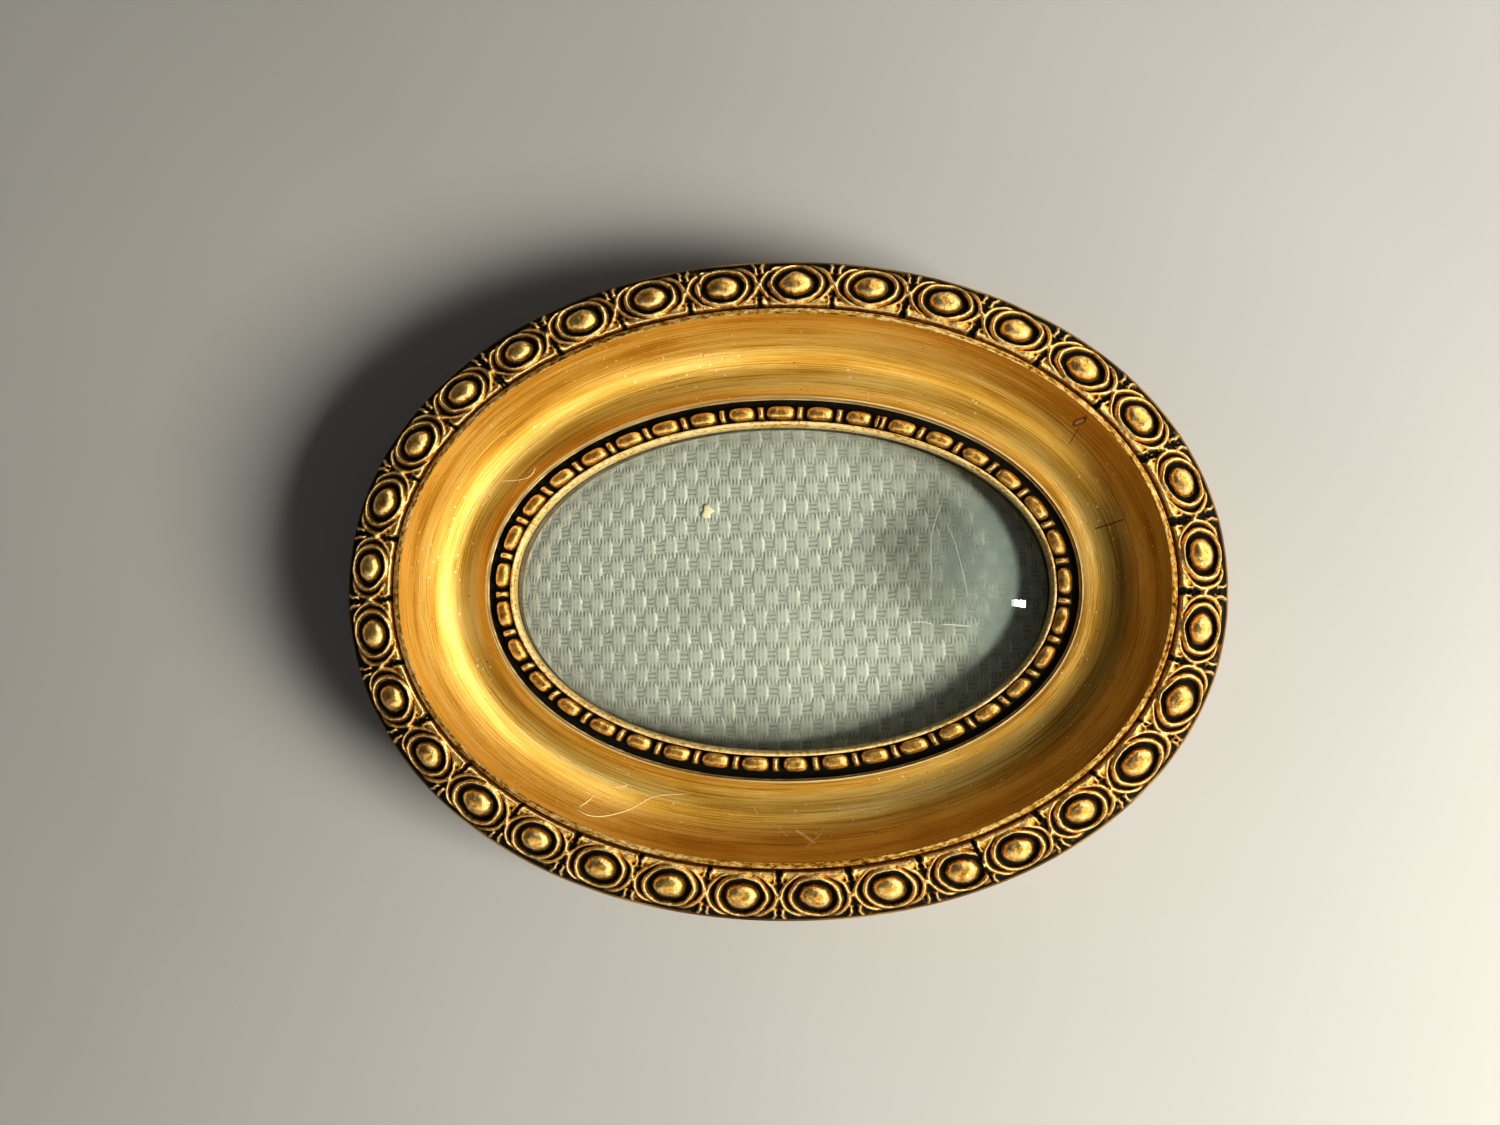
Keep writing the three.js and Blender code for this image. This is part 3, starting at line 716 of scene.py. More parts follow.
def add_moulding():
    gilt_edges = [worn_fillet("worn_fillet", 0.38, 0.95), worn_fillet("lip_gilding", 0.32, 0.45)]
    materials = [toned_side(), gilded_cove(), black_channel(), bare_wood(), *gilt_edges]
    side, cove, channel, wood, fillet, gilt_lip = range(len(materials))
    back = [(recess_inset, recess_z), (recess_inset, 0), (back_inset, 0), (back_inset, back_fillet_z)]
    rim = [(0, land_outer_z - side_fillet), (0, land_outer_z), (strip_outer, land_outer_z)]
    top = [(fillet_inset, land_inner_z), (fillet_inset, fillet_z), (cove_inset, fillet_z)]
    edge_inset = sight_inset + 0.55  # the lip's sloped inner edge
    lip = [(lip_inset, lip_z), (lip_inset + 0.6, lip_z), (edge_inset, lip_z - 1)]
    channel_edge = (arris_inset + 0.35, channel_z)
    rabbet = [(edge_inset, seat_z), (rabbet_inset, seat_z), (rabbet_inset, recess_z)]

    hollow_side, scoop = side_curve(), cove_curve()
    sections = [
        (wood, softened(back, rabbet[-1], hollow_side[0])),
        (side, hollow_side[1:-1]),
        (side, softened(rim, hollow_side[-1], top[0])),
        (fillet, softened(top, rim[-1], scoop[0], 0.35)),
        (cove, scoop[:-1]),
        (cove, softened([(arris_inset, arris_z)], scoop[-2], channel_edge, 0.15)),
        (channel, [channel_edge, (lip_inset - 0.3, channel_z)]),
        (gilt_lip, softened(lip, (lip_inset, channel_z), rabbet[0], 0.3)),
        (wood, softened(rabbet, lip[-1], back[0])),
    ]
    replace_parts(lathe("gilt_moulding", sections, materials), "frame_core")


# --- Cast ornament ---


def land_height(inset):
    return land_outer_z + (land_inner_z - land_outer_z) * (inset - strip_outer) / (fillet_inset - strip_outer)


def egg_length(unit):
    """Where a unit lies, as a share of the outline's length. The pitch drifts a little."""
    lap = TURN * unit / eggs_round
    return unit / eggs_round + first_egg - 0.0069 * np.cos(lap) + 0.0018 * np.cos(2 * lap)


def from_middle(along, across, radii):
    """Distance from the middle of an oval, 1 on its outline."""
    return np.hypot(along / radii[0], across / radii[1])


def egg_relief(along, across, pitch):
    """Height over the land of one unit of egg and dart, in mm. Across is positive inwards."""
    reach = np.abs(across)
    inwards = smooth(0, 1, across)
    height = 0.85 + (0.15 + 0.75 * inwards) * smooth(3.2, 4.4, reach)
    neighbour = from_middle(pitch - np.abs(along), across, arc_radii)
    nearest = np.minimum(from_middle(along, across, arc_radii), neighbour)
    inside = smooth(1.0, 0.93, nearest) * smooth(5.0, 4.2, reach)
    height = height * (1 - inside) + 0.25 * inside
    side_arc = ridge((nearest - 1.0) * 6.4, 0.50) * smooth(5.3, 4.3, reach)
    height = np.maximum(height, 0.3 + 1.85 * side_arc)
    bead = np.hypot(pitch / 2 - np.abs(along), across)
    height = np.maximum(height, 0.5 + 1.9 * ridge(bead, 0.85))
    ring_place = from_middle(along, across, ring_radii)
    from_ring = (ring_place - 1) * 4.8
    ring = np.where(from_ring < 0, ridge(from_ring, 0.45), ridge(from_ring, 0.85))
    height = np.maximum(height, 0.25 + 2.3 * ring)
    moat = smooth(1.0, 0.93, ring_place)
    height = height * (1 - moat) + moat * np.maximum(0.15, 0.15 + 2.3 * ring)
    egg = from_middle(along, across, egg_radii)
    height = np.maximum(height, 0.2 + 3.3 * np.clip(1 - egg**2.6, 0, 1) ** 0.5)
    dart = np.abs(pitch / 2 - np.abs(along))
    throat = 0.22 + 0.55 * smooth(4.2, 5.6, reach)
    slot = smooth(throat + 0.2, throat - 0.1, dart) * smooth(3.0, 3.4, reach)
    hole = smooth(0.72, 0.42, np.hypot(dart, reach - 3.6))
    cut = np.maximum(slot, hole)
    rims = ridge(dart - throat - 0.5, 0.5) * smooth(2.6, 3.4, reach) * smooth(1.0, 1.05, nearest)
    height = np.maximum(height, 0.9 + 1.35 * rims)
    return height * (1 - cut) + 0.3 * cut


def strip_mesh(name, share, insets, base, height, texture_radius):
    """A closed strip of the ornament: a relief on top of a flat underside, with ends."""
    rows, columns = height.shape
    x, y = oval(insets[None, :], share[:, None])
    floor = np.broadcast_to(base, (rows, columns))
    top = np.stack([x, y, floor + height], -1)
    under = np.stack([x, y, floor], -1)
    points = np.concatenate([under[:, :1], top, under[:, -1:]], 1)
    faces = grid_faces(rows, columns + 2, False, True)[:, ::-1]
    first = np.arange(columns + 2)[None, :]
    last = (rows - 1) * (columns + 2) + first[:, ::-1]
    piece = new_piece(name, points, [faces, first, last], [ornament_gilding])
    give_flow(piece, np.pad(insets, 1, mode="edge")[None, :], share[:, None], texture_radius)
    return piece, np.pad(height, ((0, 0), (1, 1)))


def give_relief(piece, local, level, outer, reach, depth):
    """How deep each point lies, how far it stands above what is round it, and the brown outer side."""
    around = blur(blur(local, *reach), *reach)
    sunk = smooth(1.45, 0.75, level)
    give(piece, "hollow", np.maximum(sunk, 0.7 * smooth(0.05, depth, around - local)))
    give(piece, "crest", smooth(0.05, 0.7 * depth, local - around))
    give(piece, "outer", outer)


def add_egg_strip(name, node, from_unit, to_unit, seed):
    pitch = length_table(strip_middle)[1][-1] / eggs_round
    step = 0.2
    unit = np.linspace(from_unit, to_unit, int((to_unit - from_unit) * pitch / step))
    share = share_at(strip_middle, egg_length(unit))
    insets = np.linspace(strip_outer, strip_inner, int(strip_width / step) + 1)
    across = (insets - strip_middle)[None, :]
    number = np.round(unit).astype(int)
    along = ((unit - number) * pitch)[:, None]
    cast = np.random.default_rng(seed)
    drift, shift, tilt = (cast.normal(0, spread, 80)[number + 10][:, None] for spread in (0.022, 0.16, 0.03))
    size = 1 + drift
    run = (unit * pitch)[:, None]
    wobble = noises(run, across, (seed, 0.22, 3.1, 2.7), (seed + 1, 0.08, 1, 1))
    sway = noises(run, across, (seed + 2, 0.20, 2.9, 3.3), (seed + 3, 0.08, 1, 1))
    placed_along = along * size + tilt * across + wobble
    placed_across = (across - shift) * size - tilt * along + sway
    level = egg_relief(placed_along, placed_across, pitch)
    level = level + noises(run, across, (seed + 4, 0.10, 1.3, 1.1), (seed + 5, 0.05, 0.55, 0.5))
    height = level - 1.5 * np.clip((-across - 3.0) / 2.6, 0, 1) ** 2
    edge = np.minimum(insets - strip_outer, strip_inner - insets)[None, :]
    height = np.minimum(height, 0.25 + 2.2 * np.sqrt(np.clip(edge / 0.9, 0, 4)))
    for crack in (hairline_crack, egg_crack):
        crooked = 0.3 * lattice_noise(across / 1.5, 0 * across, seed + 6)
        height = height - 0.9 * smooth(0.32, 0.05, np.abs((unit[:, None] - crack) * pitch + crooked))
    height = np.maximum(blur(height, 1, 1), 0.12)
    piece, local = strip_mesh(name, share, insets, land_height(insets)[None, :] + glue_gap, height, 80)
    outer = smooth(-3.6, -5.2, np.pad(across, ((0, 0), (1, 1)), mode="edge")) + 0 * local
    give_relief(piece, local, np.pad(level, ((0, 0), (1, 1)), mode="edge"), outer, (4, 4), 0.6)
    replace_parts(piece, node)


def add_bead_strip():
    length = length_table(bead_middle)[1][-1]
    pitch = length / beads_round
    step, lead = 0.14, 0.12
    unit = np.linspace(0, beads_round, int(length / step))
    share = share_at(bead_middle, bead_joint + unit / beads_round * (1 - 1e-4))
    sweep = np.linspace(-TURN / 4, TURN / 4, 23)
    across = np.sin(sweep)[None, :] * bead_width / 2
    insets = bead_middle + across[0]
    number = np.floor(unit - lead).astype(int)
    size = 1 + np.random.default_rng(7).normal(0, 0.05, 60)[number + 5][:, None]
    part = (unit - lead - number)[:, None]
    run = (unit * pitch)[:, None]
    part = part + 0.012 * lattice_noise(run / 1.2, across / 1.4, 8)
    plan = (np.abs(part - 0.395) / (0.352 * size)) ** 3.4 + (np.abs(across) / 1.78) ** 2.6
    height = 0.25 + 2.25 * np.clip(1 - plan, 0, 1) ** 0.5
    reel = np.minimum(np.abs(part - 0.90), np.abs(part + 0.10))
    reel = ridge(reel * pitch, 0.80) ** 0.8
    round_reel = np.sqrt(np.clip(1 - (np.abs(across) / 1.70) ** 2.2, 0, 1))
    height = np.maximum(height, 0.25 + 2.0 * reel * round_reel)
    height = height + 0.07 * lattice_noise(run / 0.9, across / 0.8, 9)
    height = np.maximum(height, 0.12)
    piece, local = strip_mesh("bead_and_reel", share, insets, channel_z + glue_gap, height, 50)
    give_relief(piece, local, 0.35 + local, 0 * local, (6, 3), 0.9)
    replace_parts(piece, "bead_strip")


# --- The stack behind the lip ---

stack_inset = 32.5
dome_inset = stack_inset + 4.5
dome_rise = 8.0
glass_thickness = 1.6
weave_period = 5.53
weave_row = 4.64
weave_turn = math.radians(1.5)
bundle_half = 1.75
finger_reach = 3.15
rib_pitch = weave_period / 6
strand_pitch = weave_row / 4


def box_z(node):
    low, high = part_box(node)
    return low.z / MM, high.z / MM


def dome_height(share):
    """The dome's rise over its flange, at shares of the way from its edge to its middle."""
    return dome_rise * (1 - (1 - share) ** 2)


def add_glass():
    low = box_z("domed_glass")[0]
    bend_shift = 0.45  # the underside bends this much nearer the edge
    reach = half_width - dome_inset - 0.4
    share = np.concatenate([np.linspace(1, 0.02, 38), [0.012, 0.006, 0.003, 0]])
    dome = [(dome_inset + reach * s, dome_height(s)) for s in share]
    flange = [(dome_inset - 0.1, 0), (stack_inset + 0.5, 0), (stack_inset, 0.2)]
    under = [(inset - bend_shift, low + z) for inset, z in (*dome, flange[0])]
    under += [(inset, low + z) for inset, z in flange[1:]]
    upper = [(inset, low + glass_thickness + z) for inset, z in (*flange[1::-1], *reversed(dome))]
    outline = [*under, (stack_inset, low + glass_thickness - 0.2), *upper]
    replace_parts(turned_solid("domed_picture_glass", outline, clear_glass()), "domed_glass")


def weave_fields(x, y):
    """Height in mm, places along and up the weave, and its masks, at points of the cloth."""
    p = x * math.cos(weave_turn) + y * math.sin(weave_turn)
    q = y * math.cos(weave_turn) - x * math.sin(weave_turn)
    p = p + noises(p, q, (11, 0.3, 9, 9), (14, 0.10, 2.3, 2.7))
    q = q + noises(p, q, (12, 0.3, 8, 10), (15, 0.12, 2.6, 2.1))
    upright, lean, finger = np.zeros_like(x), np.zeros_like(x), np.zeros_like(x)
    nearest_row = np.floor(q / weave_row)
    for row in (nearest_row - 1, nearest_row, nearest_row + 1):
        shifted = p / weave_period + 0.5 * (row % 2)
        column = np.round(shifted)
        side = (shifted - column) * weave_period
        rise = np.abs(q - (row + 0.5) * weave_row)
        rib = np.floor(side / rib_pitch + 0.5)
        end = finger_reach + 0.35 * lattice_noise(rib * 7.3 + column * 3.1, row * 5.7, 13)
        width = bundle_half - 0.36 * smooth(1.5, 3.1, rise)
        across = np.clip(np.abs(side) / width, 0, 1)
        body = (1 - across**6) ** 0.5 * (1 - 0.35 * smooth(2.2, end, rise)) * smooth(end, end - 0.3, rise)
        lean = np.where(body > upright, side / width, lean)
        finger = np.where(body > upright, smooth(1.0, 1.9, rise), finger)
        upright = np.maximum(upright, body)
    in_row = (q / weave_row - nearest_row - 0.5) * weave_row
    level = smooth(bundle_half, 1.5, np.abs(in_row)) * (upright < 0.05)
    masks = {"upright": upright, "level": level, "lean": lean, "finger": finger}
    return 0.30 * upright + 0.19 * level, p, q, masks


def add_weave():
    low, high = box_z("basket_weave")
    rows, columns = 236, 372
    length, width = half_length - stack_inset, half_width - stack_inset
    up = np.linspace(-1, 1, rows) * 0.9985
    reach = (1 - np.abs(up) ** fullness) ** (1 / fullness)
    x = length * reach[:, None] * np.linspace(-1, 1, columns)[None, :]
    y = np.broadcast_to(width * up[:, None], x.shape)
    height, p, q, masks = weave_fields(x, y)
    relief = 0.4
    top = np.stack([x, y, high - relief + height], -1).reshape(-1, 3)
    index = np.arange(rows * columns).reshape(rows, columns)
    border = np.concatenate([index[0], index[1:, -1], index[-1, -2::-1], index[-2:0:-1, 0]])
    under = top[border] * (1, 1, 0) + (0, 0, low)
    lower = index.size + np.arange(border.size)
    skirt = np.stack([border, lower, np.roll(lower, -1), np.roll(border, -1)], -1)
    faces = [grid_faces(rows, columns)[:, ::-1], skirt, lower[None, ::-1]]
    piece = new_piece("weave_cloth", np.concatenate([top, under]), faces, [basket_cloth()])
    for name, mask in masks.items():
        give(piece, name, np.pad(mask.ravel(), (0, border.size)))
    places = np.stack([p, q, 0 * p], -1).reshape(-1, 3)
    give(piece, "weave", np.pad(places, ((0, border.size), (0, 0))), "FLOAT_VECTOR")
    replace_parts(piece, "basket_weave")


def add_board(name, node, material, bevel=0.2):
    """An oval board with softened edges."""
    low, high = box_z(node)
    middle = half_width - 8
    edge = softened([(stack_inset, low), (stack_inset, high)], (middle, low), (middle, high), bevel)
    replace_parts(turned_solid(name, edge, material), node)


def add_spacer(material, width=2, bevel=0.2):
    low, high = box_z("spacer_ring")
    inner = stack_inset + width
    outline = rounded([(inner, low), (stack_inset, low), (stack_inset, high), (inner, high)], bevel)
    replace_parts(lathe("card_spacer", [(0, outline)], [material], 256), "spacer_ring")


def add_stack():
    add_spacer(card("black_card", (0.035, 0.032, 0.028), (0.012, 0.011, 0.010), 0.8))
    buff = card("mount_card", (0.62, 0.55, 0.42), (0.42, 0.36, 0.26), 0.7)
    add_board("card_mount", "mount_board", buff)
    add_board("hardboard_back", "back_board", hardboard())


# --- Hardware at the back ---

screw_hole = 1.6


def new_curve(name, dimensions, radius, resolution):
    curve = bpy.data.curves.new(name, "CURVE")
    curve.dimensions = dimensions
    curve.bevel_depth = radius * MM
    curve.bevel_resolution = resolution
    return curve


def plate_mesh(outlines, thickness, bevel=0.15):
    """A mesh of a flat plate, in mm, from an outline and its holes, its edges bevelled."""
    curve = new_curve("plate", "2D", bevel, 2)
    curve.fill_mode = "BOTH"
    curve.extrude = (thickness / 2 - bevel) * MM
    curve.offset = -bevel * MM
    for outline in outlines:
        spline = curve.splines.new("POLY")
        spline.points.add(len(outline) - 1)
        spline.use_cyclic_u = True
        for point, (x, y) in zip(spline.points, outline):
            point.co = (x * MM, y * MM, 0, 1)
    return baked(add_object("plate", curve))


def circle(centre, radius):
    return arc(centre, (radius, radius), 0, TURN, 32)[:-1]


def half_round(centre, radius, start):
    return arc(centre, (radius, radius), start, start + TURN / 2, 23)


def tidy_mesh(mesh, smooth_angle=35):
    work = bmesh.new()
    work.from_mesh(mesh)
    bmesh.ops.remove_doubles(work, verts=work.verts, dist=0.002 * MM)
    bmesh.ops.recalc_face_normals(work, faces=work.faces)
    for face in work.faces:
        face.smooth = True
    for edge in work.edges:
        edge.smooth = len(edge.link_faces) != 2 or edge.calc_face_angle(0) < math.radians(smooth_angle)
    work.to_mesh(mesh)
    work.free()


def place_mesh(name, mesh, material, body, node, move, turn=0.0):
    """A copy of a mesh set at a place in mm, turned about Z, standing for a CAD node."""
    made = mesh.copy()
    made.transform(Matrix.Translation(Vector(move) * MM) @ Matrix.Rotation(turn, 4, "Z"))
    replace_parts(show_piece(name, made, body, [material]), node)


def screw_mesh(head, head_height, length, shank=1.3, point=2.0, around=48):
    """A slotted round-head wood screw along +Z, its head below z = 0, in metres."""
    profile = [(max(r, 0.02), z) for r, z in arc((0, 0), (head, head_height), -TURN / 4, 0, 10)]
    profile += [(head - 0.1, 0.02), (shank, 0.05), (shank, 1.0)]
    thread_pitch, thread_depth = 0.9, 0.22
    for z in np.arange(1.2, length - point, 0.22):
        swell = thread_depth * abs(math.sin(math.pi * z / thread_pitch))
        profile.append((shank - 0.24 + swell, z))
    profile += [(shank - 0.2, length - point), (0.05, length)]
    radius, z = np.array(profile).T
    angle = np.arange(around)[:, None] * TURN / around
    x, y = radius * np.cos(angle), radius * np.sin(angle)
    points = np.stack([x, y, np.broadcast_to(z, x.shape)], -1).reshape(-1, 3) * MM
    columns = len(profile)
    faces = grid_faces(around, columns, True)[:, ::-1].tolist()
    faces.append((np.arange(around) * columns).tolist())
    faces.append((np.arange(around)[::-1] * columns + columns - 1).tolist())
    mesh = bpy.data.meshes.new("screw")
    mesh.from_pydata(points.tolist(), [], faces)
    return cut_slot(mesh, head, head_height)


def cut_slot(mesh, head, head_height, width=0.6, depth=0.5):
    """Cuts the driver's slot across a screw's head."""
    cutter_mesh = bpy.data.meshes.new("slot")
    work = bmesh.new()
    bmesh.ops.create_cube(work, size=1)
    bmesh.ops.scale(work, vec=(3 * head * MM, width * MM, 2 * depth * MM), verts=work.verts)
    bmesh.ops.translate(work, vec=(0, 0, -head_height * MM), verts=work.verts)
    work.to_mesh(cutter_mesh)
    work.free()
    holder, cutter = add_object("screw", mesh), add_object("slot", cutter_mesh)
    cut = holder.modifiers.new("slot", "BOOLEAN")
    cut.operation = "DIFFERENCE"
    cut.object = cutter
    cut.solver = "EXACT"
    made = baked(holder)
    bpy.data.objects.remove(cutter)
    tidy_mesh(made)
    return made


def inward_angle(x, y):
    """Direction from the oval's edge straight inwards at a point, as an angle from +X."""
    length, width = half_length - rabbet_inset, half_width - rabbet_inset
    slope_x = math.copysign(abs(x / length) ** (fullness - 1) / length, x)
    slope_y = math.copysign(abs(y / width) ** (fullness - 1) / width, y)
    return math.atan2(-slope_y, -slope_x)


def add_turn_buttons():
    half, arm, tail, thickness = 3.5, 13.0, 3.6, 1.0
    head, head_height, screw_length = 2.8, 1.1, 8.0
    outline = half_round((arm - half, 0), half, -TURN / 4) + half_round((half - tail, 0), half, TURN / 4)
    plate = plate_mesh([outline, circle((0, 0), screw_hole)], thickness)
    tidy_mesh(plate)
    screw = screw_mesh(head, head_height, screw_length)
    for number in range(1, 5):
        x, y, _ = Vector(joints["turn_button_%d_swing" % number]["pos_m"]) / MM
        turn = inward_angle(x, y)
        button, button_screw = "turn_button_%d" % number, "turn_button_screw_%d" % number
        place = (x, y, sum(box_z(button)) / 2)
        place_mesh("brass_" + button, plate, brass, "button_%d" % number, button, place, turn)
        place = (x, y, box_z(button_screw)[0] + head_height)
        name = "button_screw_%d" % number
        place_mesh(name, screw, steel, "frame", button_screw, place, turn + 0.7 * number)


def add_hanger():
    pin = Vector(joints["hanger_ring_swing"]["pos_m"]) / MM
    half, foot, length, thickness, lift = 4.5, 3.0, 13.0, 0.8, 0.7
    barrel_radius, barrel_bore = 1.1, 0.7
    head, head_height, screw_length = 2.0, 0.9, 6.0
    screw_places = (4.2, 9.6)
    outline = [(-foot, 0), (foot, 0), (half, 2.1), *half_round((0, length - half), half, 0), (-half, 2.1)]
    strap = plate_mesh([outline, *(circle((0, y), screw_hole) for y in screw_places)], thickness)
    work = bmesh.new()
    work.from_mesh(strap)
    bmesh.ops.translate(work, vec=(0, 0, lift * MM), verts=work.verts)
    section = [(barrel_radius, -foot), (barrel_radius, foot), (barrel_bore, foot), (barrel_bore, -foot)]
    barrel = np.array(rounded(section, 0.12)) * MM
    angles = np.linspace(0, TURN, 32, endpoint=False)
    points = [work.verts.new((x, r * math.cos(a), r * math.sin(a))) for a in angles for r, x in barrel]
    for corners in grid_faces(len(angles), len(barrel), True, True):
        work.faces.new([points[corner] for corner in corners])
    work.to_mesh(strap)
    work.free()
    tidy_mesh(strap)
    place_mesh("brass_hanger_strap", strap, brass, "frame", "hanger_strap", pin)
    screw = screw_mesh(head, head_height, screw_length)
    for number, reach in enumerate(screw_places, 1):
        node = "hanger_screw_%d" % number
        place = (pin.x, pin.y + reach, box_z(node)[0] + head_height)
        place_mesh("strap_screw_%d" % number, screw, steel, "frame", node, place, 0.6 + number)
    add_hanger_ring(pin)


def add_hanger_ring(pin):
    """The wire D-ring: a straight bar in the barrel and a bow below it."""
    span, drop, wire = 4.2, 10.0, 0.5
    bend = [(0.91, 0.02), (1.06, 0.126), (1.15, 0.45), (0.75, 0.85)]
    right = [(0, 0), (3, 0)] + [(span * a, -drop * b) for a, b in bend]
    route = right + [(0, -drop)] + [(-x, y) for x, y in reversed(right[1:])]
    curve = new_curve("ring", "3D", wire, 6)
    curve.resolution_u = 10
    spline = curve.splines.new("BEZIER")
    spline.bezier_points.add(len(route) - 1)
    spline.use_cyclic_u = True
    for point, (x, y) in zip(spline.bezier_points, route):
        point.co = (x * MM, y * MM, 0)
        point.handle_left_type = point.handle_right_type = "AUTO"
    mesh = baked(add_object("ring", curve))
    tidy_mesh(mesh, 60)
    place_mesh("brass_hanger_ring", mesh, brass, "ring", "hanger_ring", pin)


# --- Haze and lint ---


def add_fibre(name, places, radius, height, material):
    """A thin fibre through places (x, y), lying at a height given by a function, all in mm."""
    curve = new_curve(name, "3D", radius, 1)
    places = np.array(places, dtype=float)
    fine = np.linspace(0, len(places) - 1, 12 * len(places))
    route = np.stack([smooth_through(values, fine) for values in places.T], -1)
    spline = curve.splines.new("POLY")
    spline.points.add(len(route) - 1)
    for index, (x, y) in enumerate(route):
        spline.points[index].co = (x * MM, y * MM, (height(x, y) + radius) * MM, 1)
        ends = min(index, len(route) - 1 - index) / 6
        spline.points[index].radius = min(1.0, 0.3 + ends)
    show_piece(name, baked(add_object(name, curve)), "frame", [material])


def smooth_through(values, at):
    """A Catmull-Rom curve through values at 0, 1, 2 and so on."""
    padded = np.concatenate([[2 * values[0] - values[1]], values, [2 * values[-1] - values[-2]]])
    start = np.clip(np.floor(at).astype(int), 0, len(values) - 2)
    t = at - start
    a, b, c, d = (padded[start + offset] for offset in range(4))
    return b + 0.5 * t * (c - a + t * (2 * a - 5 * b + 4 * c - d + t * (3 * (b - c) + d - a)))


def inset_of(x, y):
    """The inset of the oval that passes through a point."""
    low, high = 0.0, half_width
    for _ in range(40):
        middle = (low + high) / 2
        outside = abs(x / (half_length - middle)) ** fullness + abs(y / (half_width - middle)) ** fullness > 1
        low, high = (low, middle) if outside else (middle, high)
    return low


def cove_height(x, y):
    insets, heights = np.array(cove_curve()).T
    return float(np.interp(inset_of(x, y), insets, heights))


def glass_top(x, y):
    share = (inset_of(x, y) - dome_inset) / (half_width - dome_inset)
    return box_z("domed_glass")[0] + glass_thickness + dome_height(max(share, 0))


def add_haze():
    """A film just under the glass: dirt, a painted reflection patch, and a crescent at the right cut away as
    painted shadow.
    """
    film_gap, widest_shade = 0.08, 9.0
    reflection_middle, reflection_radii = (62, 4), (34, 30)
    reach = half_width - dome_inset
    inset = np.concatenate([[34.0, 36.0], dome_inset + reach * np.linspace(0, 0.99, 60)])
    z = box_z("domed_glass")[0] - film_gap + dome_height(np.clip((inset - dome_inset) / reach, 0, 1))
    around = 256
    points = turned(np.stack([inset, z], -1), around)
    middle = (np.arange(around) * inset.size + inset.size - 1)[None, :]
    faces = [grid_faces(around, inset.size, True), middle]
    film = new_piece("haze_on_glass", points, faces, [hazy_film()])
    give(film, "across", np.tile(inset, around))
    lap = (np.arange(around) / around * TURN)[:, None]
    # Painted shadow: the film is cut away in a crescent at the right, up to about 9 mm in from the sight
    # edge, where the lip's shadow falls.
    shaded = widest_shade * np.clip(np.cos(lap + 0.35), 0, 1) ** 1.2
    give(film, "lit", smooth(shaded - 2.0, shaded + 0.6, inset[None, :] - sight_inset))
    # Painted reflection: a pale patch right of the middle stands for the window mirrored in the glass.
    x, y = points[..., 0] - reflection_middle[0], points[..., 1] - reflection_middle[1]
    give(film, "veil", smooth(1.0, 0.45, from_middle(x, y, reflection_radii)))


def add_lint():
    """Hairs and fibres on the cove and the glass."""
    hair = loose_thread("pale_hair", (0.92, 0.80, 0.52))
    lint = loose_thread("white_lint", (0.80, 0.78, 0.70))
    for index, places in enumerate(cove_hairs, 1):
        add_fibre("cove_hair_%d" % index, places, 0.08, cove_height, hair)
    for index, (places, radius) in enumerate(glass_fibres, 1):
        add_fibre("glass_fibre_%d" % index, places, radius, glass_top, lint)


def add_flake():
    """A crumb of something cream that lies on the cloth."""
    sides, x, y = 14, -18.8, 20.0
    angle = np.linspace(0, TURN, sides, endpoint=False)
    reach = 1.7 + 0.8 * lattice_noise(angle * 1.9, 0 * angle, 41)
    rim = np.stack([0.82 * reach * np.cos(angle), 1.05 * reach * np.sin(angle), 0 * angle], -1)
    top = box_z("basket_weave")[1]
    points = [rim + (x, y, top - 0.25), rim + (x, y, top + 0.02), rim * 0.7 + (x, y, top + 0.18)]
    foot = np.arange(sides)[None, :]
    faces = [grid_faces(3, sides, False, True)[:, ::-1], foot + 2 * sides, foot[:, ::-1]]
    flake = loose_thread("cream_flake", (0.95, 0.84, 0.60))
    new_piece("flake_on_cloth", np.concatenate(points), faces, [flake])


# --- Floor, light and camera ---


def add_floor():
    n = Nodes("pale_floor")
    colour = n.ramp(n.noise(n.place(), 0.004, 3), (0.3, (0.39, 0.386, 0.367)), (0.7, (0.44, 0.435, 0.412)))
    material = n.surface(Base_Color=colour, Roughness=0.6, Normal=n.bump(n.noise(n.place(), 0.8, 3), 0.02))
    mesh = bpy.data.meshes.new("floor")
    half, sunk = 4, 0.0001
    corners = [(-half, -half, 0), (half, -half, 0), (half, half, 0), (-half, half, 0)]
    mesh.from_pydata(corners, [], [(0, 1, 2, 3)])
    mesh.materials.append(material)
    floor = add_object("floor", mesh)
    floor.location.z = cad_box[0].z - sunk


def add_area_light(name, azimuth, elevation, size, radiance, colour, distance=0.9):
    """A soft oblong light, aimed at the frame. Azimuth 0 is +X, and 90 is +Y."""
    light = bpy.data.lights.new(name, "AREA")
    light.shape = "RECTANGLE"
    light.size, light.size_y = size
    light.energy = radiance * math.pi * size[0] * size[1]
    light.color = colour
    lamp = add_object(name, light)
    a, e = math.radians(azimuth), math.radians(elevation)
    away = Vector((math.cos(a) * math.cos(e), math.sin(a) * math.cos(e), math.sin(e)))
    lamp.location = away * distance
    lamp.rotation_mode = "QUATERNION"
    lamp.rotation_quaternion = away.to_track_quat("Z", "Y")
    return lamp


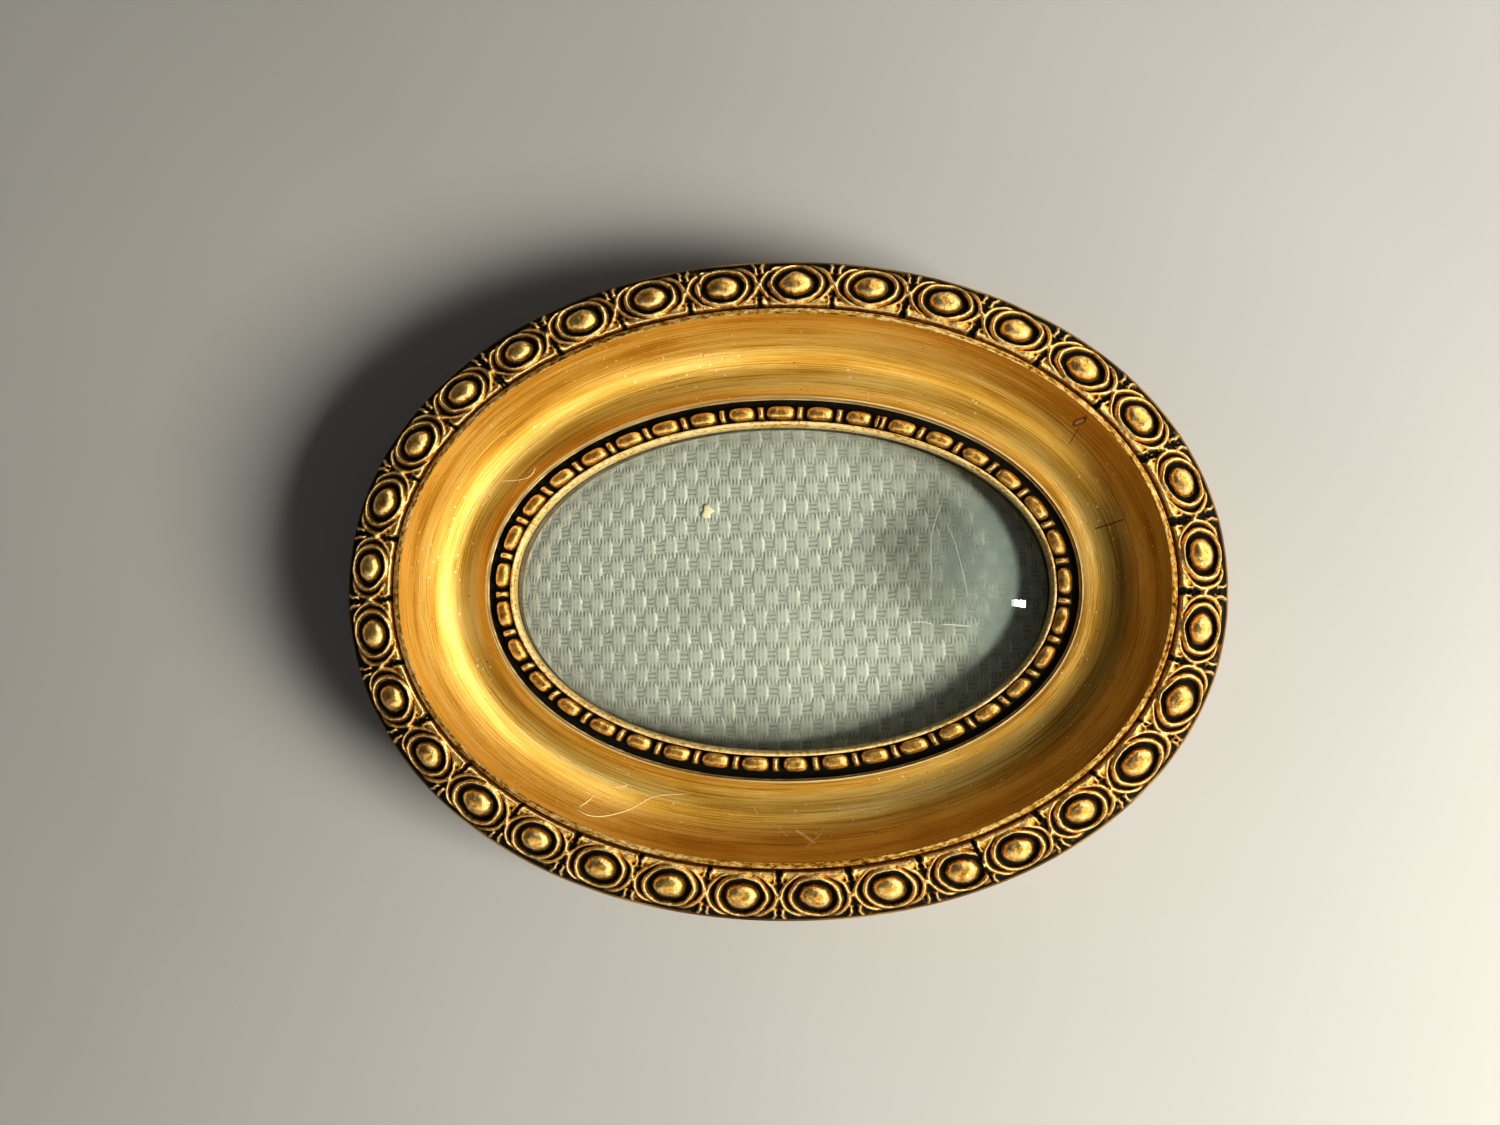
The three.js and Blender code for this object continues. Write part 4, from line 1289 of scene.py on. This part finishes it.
def add_light():
    """A soft key from the lower right, and panels that only the gilding mirrors."""
    warm = (1.0, 0.96, 0.88)
    key = add_area_light("key", -24, 36, (0.36, 0.36), 36, warm)
    key.visible_glossy = False
    panels = [
        ("softbox", 2, 32, (1.1, 0.95), 1.9),
        ("upper softbox", 58, 30, (0.75, 0.75), 1.7),
        ("lower softbox", -56, 30, (0.75, 0.75), 1.7),
        ("side panel", -115, 36, (0.8, 0.7), 1.0),
        ("back panel", 100, 30, (0.3, 0.5), 0.20),
        ("overhead", 0, 90, (0.5, 0.5), 0.28),
    ]
    lamps = [add_area_light(*panel, warm) for panel in panels]
    for lamp in lamps:
        lamp.visible_diffuse = False
    sparkle = add_area_light("sparkle", -5.2, 42, (0.05, 0.06), 30, warm, 0.956)
    glass = bpy.data.collections.new("glass")
    other = bpy.data.collections.new("all but the glass")
    for piece in scene.objects:
        if piece.type == "MESH":
            (glass if piece.name == "domed_picture_glass" else other).objects.link(piece)
    sparkle.light_linking.receiver_collection = glass
    for lamp in (key, *lamps):
        lamp.light_linking.receiver_collection = other
    world = bpy.data.worlds.new("studio")
    scene.world = world
    world.use_nodes = True
    background = world.node_tree.nodes["Background"]
    background.inputs["Color"].default_value = (0.94, 0.96, 1.0, 1)
    background.inputs["Strength"].default_value = 0.07


def add_camera():
    data = bpy.data.cameras.new("camera")
    data.sensor_width = 36
    data.lens = 27.05
    data.clip_start = 0.01
    camera = add_object("camera", data)
    camera.location = (0.0100, -0.0169, 0.2882)
    camera.rotation_euler = (0.0834, 0.0628, 0)
    scene.camera = camera
    scene.view_settings.view_transform = "Standard"
    scene.view_settings.look = "Medium High Contrast"


add_camera()
ornament_gilding = gilded_ornament()
brass = aged_metal("aged_brass", (0.80, 0.62, 0.30), (0.55, 0.40, 0.17), (0.22, 0.14, 0.06), (3, 0.6, 3))
steel = aged_metal("screw_steel", (0.62, 0.60, 0.57), (0.42, 0.40, 0.37), (0.20, 0.16, 0.12), (4, 4, 1))
add_moulding()
egg_end = eggs_round + egg_joint
add_egg_strip("egg_and_dart_right", "egg_strip_right", egg_joint, egg_crack - 0.004, 21)
add_egg_strip("egg_and_dart_left", "egg_strip_left", egg_crack + 0.004, egg_end - 0.006, 22)
add_bead_strip()
add_glass()
add_haze()
add_lint()
add_flake()
add_weave()
add_stack()
add_turn_buttons()
add_hanger()
add_floor()
add_light()
